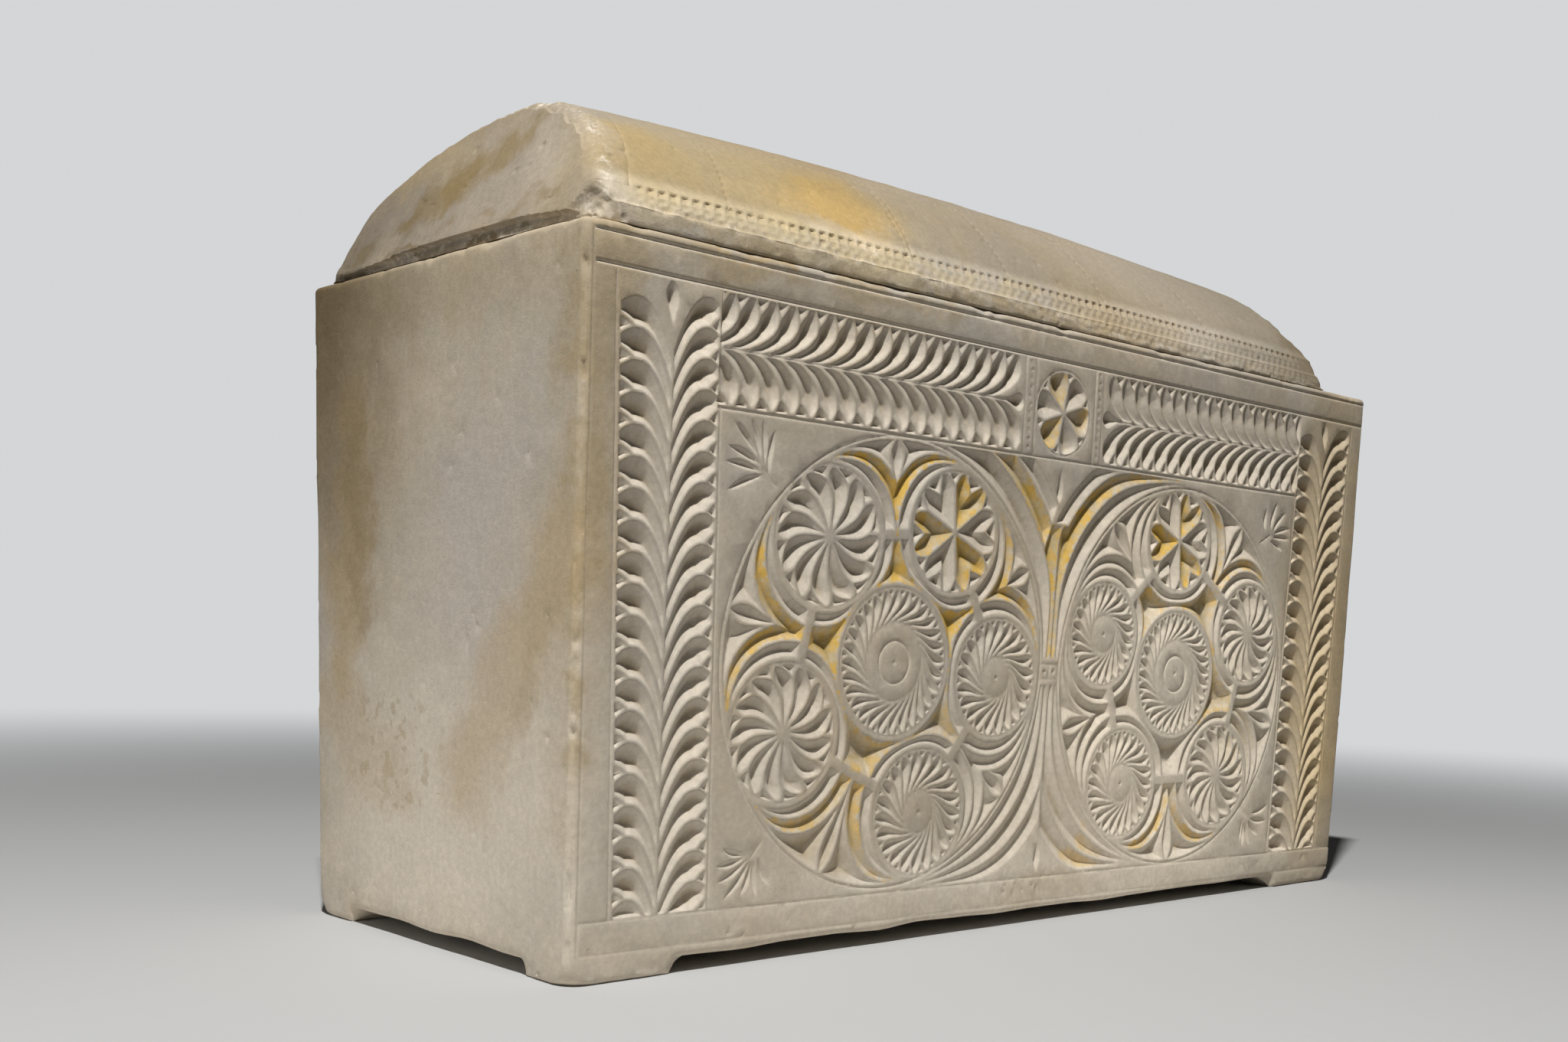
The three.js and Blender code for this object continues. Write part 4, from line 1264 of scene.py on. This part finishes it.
def chest_look():
    look = Look("chest limestone")
    colour = stone(look, 0.5)
    colour = look.stains(colour, [
        # The left end: tan towards the back and top, pale at its foot. The tan is partly painted shade,
        # and the pale foot is painted light thrown up from the floor
        (CHALK, 0.8, (-365, -30, 90), (60, 170, 130)),
        (TAN, 0.5, (-365, 95, 300), (60, 100, 150)),
        (TAN, 0.5, (-365, 0, 375), (60, 190, 60)),
        (LILAC, 0.85, (-365, -45, 225), (60, 75, 125)),
        (LILAC, 0.7, (-365, 138, 170), (50, 18, 50)),
        # Painted light: the end paler low down and towards the front
        (CHALK, 0.75, (-360, -118, 90), (40, 20, 40)),
        (CHALK, 0.7, (-360, 20, 40), (40, 130, 50)),
        # The front: tan at its left border, upper corner and right end
        (WARM, 0.4, (-352, -145, 240), (26, 40, 175)),
        (TAN, 0.5, (-352, -145, 345), (30, 40, 110)),
        (TAN, 0.45, (-305, -145, 372), (95, 40, 26)),
        (TAN, 0.25, (-200, -145, 350), (120, 40, 30)),
        (TAN, 0.55, (-200, -146, 370), (260, 12, 12)),
        (OCHRE, 0.6, (-250, -146, 379), (170, 9, 5)),
        # Painted light: the foot of the front paler, as if lit by light thrown up from the floor
        (CHALK, 0.9, (0, -140, 14), (430, 40, 60)),
        (CHALK, 0.5, (-352, -140, 130), (26, 40, 130)),
        (TAN, 0.15, (-160, -135, 14), (210, 40, 22)),
        (TAN, 0.35, (10, -135, 22), (85, 40, 16)),
        (TAN, 0.35, (350, -145, 190), (30, 50, 90)),
        (TAN, 0.15, (290, -145, 250), (70, 50, 140)),
        (PALE_YELLOW, 0.6, (318, -135, 110), (40, 40, 100)),
        # Painted light: the right part of the front paler, as if more brightly lit
        (CHALK, 0.75, (150, -140, 130), (210, 40, 190)),
        (CHALK, 0.35, (130, -140, 60), (190, 40, 70)),
        (GREY, 0.6, (-190, -145, 270), (120, 40, 80)),
        (TAN, 0.7, (-362, -140, 200), (13, 13, 240)),
    ])
    # What has run down the left end
    colour = look.runs(colour, [
        (TAN, 0.3, (-365, -138, 350), (-362, -135, 80), 30),
        (OCHRE, 0.45, (-365, 88, 300), (-365, 98, 150), 34),
        (DARK_TAN, 0.35, (-365, 86, 280), (-365, 80, 180), 20),
        (OCHRE, 0.42, (-365, -130, 215), (-363, -36, 100), 40),
        (DARK_TAN, 0.2, (-365, -104, 165), (-363, -82, 128), 20),
        (OCHRE, 0.25, (-365, 118, 130), (-363, 40, 90), 34),
    ])
    flecks = look.patches(9, 0.54, 0.60, 3, 0.5)
    flecks = look.times(flecks, look.blob((-362, 45, 105), (40, 65, 40), 0.4))
    colour = look.mix(look.times(flecks, 0.4), colour, TAN)
    # Painted shade: the left end grows darker and browner towards its back and top
    colour = look.tint(colour, (0.32, 0.27, 0.18), (-368, 165, 400), (70, 190, 330), 0.95)

    # Freshly cut facets are paler than the old skin; the deepest places are darker, partly with dust and
    # partly with painted shade
    cut = look.known("cut")
    fresh = look.ramp(cut, 0.15, 0.7, 0, 0.62)
    colour = look.mix(fresh, colour, CHALK)
    deep_dust_and_shade = look.times(look.ramp(cut, 1.8, 4.5, 0, 0.5), look.patches(18, 0.35, 0.55))
    colour = look.mix(deep_dust_and_shade, colour, TAN)

    # Yellow paint left in some of the hollows
    edge = look.ramp(look.noise(5, 4, 0.65), 0.3, 0.7, -1.3, 1.3)
    paint = look.maths("ADD", look.known("paint"), edge)
    covered = look.ramp(paint, -0.3, 0.7)
    thick = look.blob((-165, -140, 220), (150, 40, 100), 0.35)
    thick = look.maths("MAXIMUM", thick, look.blob((125, -140, 250), (60, 40, 50), 0.4))
    thick_fan = look.times(look.blob((0, -140, 250), (75, 40, 60), 0.6), 0.7)
    thick = look.maths("MAXIMUM", thick, thick_fan)
    thin = look.ramp(look.noise(20, 4, 0.6), 0.36, 0.58, 0.15, 0.75)
    thin = look.maths("MINIMUM", look.maths("ADD", thin, look.times(thick, 0.5)), 1.0)
    tone = look.mix(look.patches(9, 0.4, 0.65), YELLOW, PALE_YELLOW)
    # The paint darker in the deep cuts: painted shade
    tone = look.mix(look.ramp(cut, 1.6, 4.2, 0, 0.75), tone, SHADED_DEEP_YELLOW)
    colour = look.mix(look.times(covered, thin), colour, tone)
    # Faint orange in the fan at the right and brown in the lower left gap
    for tone, strength, centre, radii in (
        (YELLOW, 0.5, (45, -135, 42), (34, 30, 12)),
        (OLIVE, 0.35, (-190, -135, 60), (50, 30, 25)),
        (PALE_YELLOW, 0.35, (215, -138, 120), (40, 30, 50)),
    ):
        share = look.times(look.blob(centre, radii), strength)
        colour = look.mix(look.times(share, look.ramp(cut, 0.2, 0.9)), colour, tone)
    # The browner right palm, and painted light that makes the stone about the right roundel paler
    colour = look.tint(colour, (0.93, 0.86, 0.72), (330, -140, 210), (80, 60, 240), 0.5)
    colour = look.tint(colour, (1.25, 1.24, 1.21), (200, -140, 110), (330, 60, 250), 0.6)
    return finish(look, colour, 0.35)


def lid_look():
    look = Look("lid limestone")
    colour = stone(look, 0.9)
    lift = LID_SHIFT[2]
    crown = look.times(look.blob((-50, 0, lift + 95), (420, 95, 40)), 0.55)
    colour = look.mix(crown, colour, TAN)
    colour = look.stains(colour, [
        (CHALK, 0.7, (190, -100, lift + 50), (260, 90, 70)),
        (PALE_YELLOW, 0.85, (-240, -120, lift + 45), (170, 70, 70)),
        (YELLOW, 0.42, (-185, -118, lift + 48), (70, 45, 36)),
        (YELLOW, 0.34, (-325, -115, lift + 50), (50, 45, 36)),
        (PALE_YELLOW, 0.5, (-130, -142, lift + 18), (230, 14, 14)),
        (CHALK, 0.5, (-190, -138, lift + 30), (60, 20, 12)),
        # Tan along the lid's plinth: partly stain, partly painted shade on its upright face
        (TAN, 0.75, (-140, -144, lift + 2), (320, 14, 11)),
        (LILAC, 0.8, (-350, 0, lift + 40), (30, 170, 60)),
        (PALE_YELLOW, 0.5, (-345, 60, lift + 60), (34, 80, 26)),
        (CHALK, 0.6, (-350, -90, lift + 45), (30, 50, 50)),
        # Dark tan in the recess under the left end: its own brown, darkened further as painted shade
        (DARK_TAN, 0.8, (-364, -20, lift + 3), (12, 130, 7)),
        (PALE_YELLOW, 0.5, (-320, -125, lift + 40), (60, 60, 50)),
        (TAN, 0.5, (300, -120, lift + 20), (60, 60, 40)),
    ])
    colour = look.runs(colour, [
        (OLIVE, 0.75, (-350, -52, lift + 66), (-350, 10, lift + 46), 22),
        (OLIVE, 0.7, (-350, 0, lift + 42), (-350, 48, lift + 30), 20),
        (OLIVE, 0.6, (-352, 60, lift + 24), (-352, 98, lift + 12), 13),
        (TAN, 0.6, (-352, -110, lift + 16), (-352, 60, lift + 10), 12),
    ])
    # The vault and the ends are darker than the worn band: partly their old skin, partly painted shade
    # that tones down the stronger light they get
    colour = look.mix(look.known("vault"), colour, (0.66, 0.63, 0.58), "MULTIPLY")
    # Painted light and shade: parts of the lid darkened or paled to even out how the key light falls
    # along it
    for tint, centre, radii in (
        ((0.55, 0.55, 0.56), (-352, 150, lift + 10), (40, 190, 100)),
        ((0.72, 0.73, 0.72), (310, -60, lift + 60), (270, 170, 95)),
        ((0.70, 0.68, 0.65), (330, -135, lift + 12), (230, 60, 40)),
        ((1.25, 1.22, 1.15), (-190, -125, lift + 38), (110, 40, 24)),
    ):
        colour = look.tint(colour, tint, centre, radii, 0.9)
    # Brown in the bead marks and nicks
    cut = look.known("cut")
    colour = look.mix(look.ramp(cut, 0.15, 0.6, 0, 0.2), colour, OCHRE)
    # Scratches and rubbed white along the left arris and the band's foot: partly wear, partly a painted
    # highlight on edges that catch the light
    rubbed_and_highlight = look.patches(7, 0.5, 0.62, 6, 0.8)
    rubbed_and_highlight = look.times(rubbed_and_highlight, look.known("arris"))
    colour = look.mix(rubbed_and_highlight, colour, (0.66, 0.60, 0.50))
    return finish(look, colour, 0.5)


def dress_chest(piece):
    x, y, z = places(piece).T
    fall = 1 - z / HEIGHT
    front = (y < -HALF_WIDTH + SIDE_BATTER * fall + 9) & (z > 1)
    note(piece, "cut", np.where(front, relief.at(relief.depth, x, z), 0))
    note(piece, "paint", np.where(front, relief.at(relief.paint, x, z), -PAINT_REACH))
    piece.data.materials.append(chest_look())


def dress_lid(piece):
    x, y, z = (places(piece) - LID_SHIFT).T
    # x as it was before the ends were drawn in
    x = x / (1 - END_LEAN * up_the_vault(z) / LID_HALF)
    straight = np.column_stack([x, y, z])
    cuts = most(band_cuts(straight), pecked_lines(straight))
    note(piece, "cut", np.where(np.abs(x) < LID_HALF - 3, cuts, 0))
    # The left arris and the band's foot edge, whitened in the look: wear and a painted highlight
    near = smooth(-x, LID_HALF - 15, LID_HALF - 7) * smooth(x, 3 - LID_HALF, 5 - LID_HALF)
    foot = np.exp(-(((z - band_foot(x)) / 2.5) ** 2)) * (y < -115)
    note(piece, "arris", np.clip(near + 0.8 * foot, 0, 1))
    # The vault and the ends, which the look darkens: old skin and painted shade
    end = smooth(np.abs(x), LID_HALF - 6, LID_HALF - 2)
    note(piece, "vault", most(smooth(z, NICK_TOP, NICK_TOP + 8), end))
    piece.data.materials.append(lid_look())


dress_chest(chest)
dress_lid(lid)


# Lights, floor and camera


for name, place, aim, size, power in (
    ("key", (-1.05, -0.95, 2.4), (0, -0.05, 0.2), 0.12, 80),
    ("right", (0.62, -0.55, 0.3), (0.33, -0.14, 0.2), 0.4, 0.13),
    ("left", (-1.3, -0.3, 0.15), (-0.36, -0.02, 0.1), 0.8, 2.35),
):
    lamp = bpy.data.lights.new(name, "AREA")
    lamp.shape = "DISK"
    lamp.size = size
    lamp.energy = power
    lamp.color = (1, 0.98, 0.95)
    fixture = put(name, lamp)
    fixture.location = place
    fixture.rotation_euler = (Vector(aim) - Vector(place)).to_track_quat("-Z", "Y").to_euler()

BACKDROP = (0.66, 0.67, 0.68, 1)
world = bpy.data.worlds.new("pale room")
bpy.context.scene.world = world
world.use_nodes = True
sky = world.node_tree
room = sky.nodes["Background"]
room.inputs["Color"].default_value = (1.0, 0.99, 0.97, 1)
room.inputs["Strength"].default_value = 0.02
seen = sky.nodes.new("ShaderNodeBackground")
seen.inputs["Color"].default_value = BACKDROP
rays = sky.nodes.new("ShaderNodeLightPath")
either = sky.nodes.new("ShaderNodeMixShader")
sky.links.new(rays.outputs["Is Camera Ray"], either.inputs[0])
sky.links.new(room.outputs[0], either.inputs[1])
sky.links.new(seen.outputs[0], either.inputs[2])
sky.links.new(either.outputs[0], sky.nodes["World Output"].inputs["Surface"])

floor_mesh = bpy.data.meshes.new("floor")
floor_mesh.from_pydata([(-9, -9, 0), (9, -9, 0), (9, 9, 0), (-9, 9, 0)], [], [(0, 1, 2, 3)])
floor = put("floor", floor_mesh)
ground = Look("pale floor")
# The light it throws back comes from close by the chest only
seen_floor = ground.add("ShaderNodeLightPath").outputs["Is Camera Ray"]
from_pool = ground.vector("ADD", ground.place, (330, -20, 0))
near = ground.ramp(ground.vector("LENGTH", from_pool), 950, 300)
pool = ground.mix(near, (0.07, 0.07, 0.07), (0.60, 0.59, 0.57))
colour = ground.mix(seen_floor, pool, (0.50, 0.51, 0.52))
ground.fill(ground.surface, {"Base Color": colour, "Roughness": 0.8})
# Far from the chest the camera sees the floor melt into the backdrop
glow = ground.add("ShaderNodeEmission", {"Color": BACKDROP})
far = ground.ramp(ground.vector("LENGTH", ground.place), 700, 2400)
given = {0: ground.times(far, seen_floor), 1: ground.surface.outputs[0], 2: glow.outputs[0]}
melt = ground.add("ShaderNodeMixShader", given)
ground.feed(ground.tree.nodes["Material Output"].inputs["Surface"], melt.outputs[0])
floor_mesh.materials.append(ground.material)

# The camera stands where a solve on the chest's corners puts it
lens = bpy.data.cameras.new("camera")
lens.sensor_width = 36
lens.lens = 38.33
lens.shift_x = -0.0430
lens.shift_y = 0.0403
camera = put("camera", lens)
forward = Vector((0.691, 0.723, 0.030)).normalized()
right = Vector((0.722, -0.691, 0.035))
right = (right - forward * right.dot(forward)).normalized()
turned = Matrix((right, right.cross(forward), -forward)).transposed().to_4x4()
turned.translation = Vector((-0.8257, -0.8157, 0.1782))
camera.matrix_world = turned
bpy.context.scene.camera = camera
bpy.context.scene.view_settings.view_transform = "Standard"
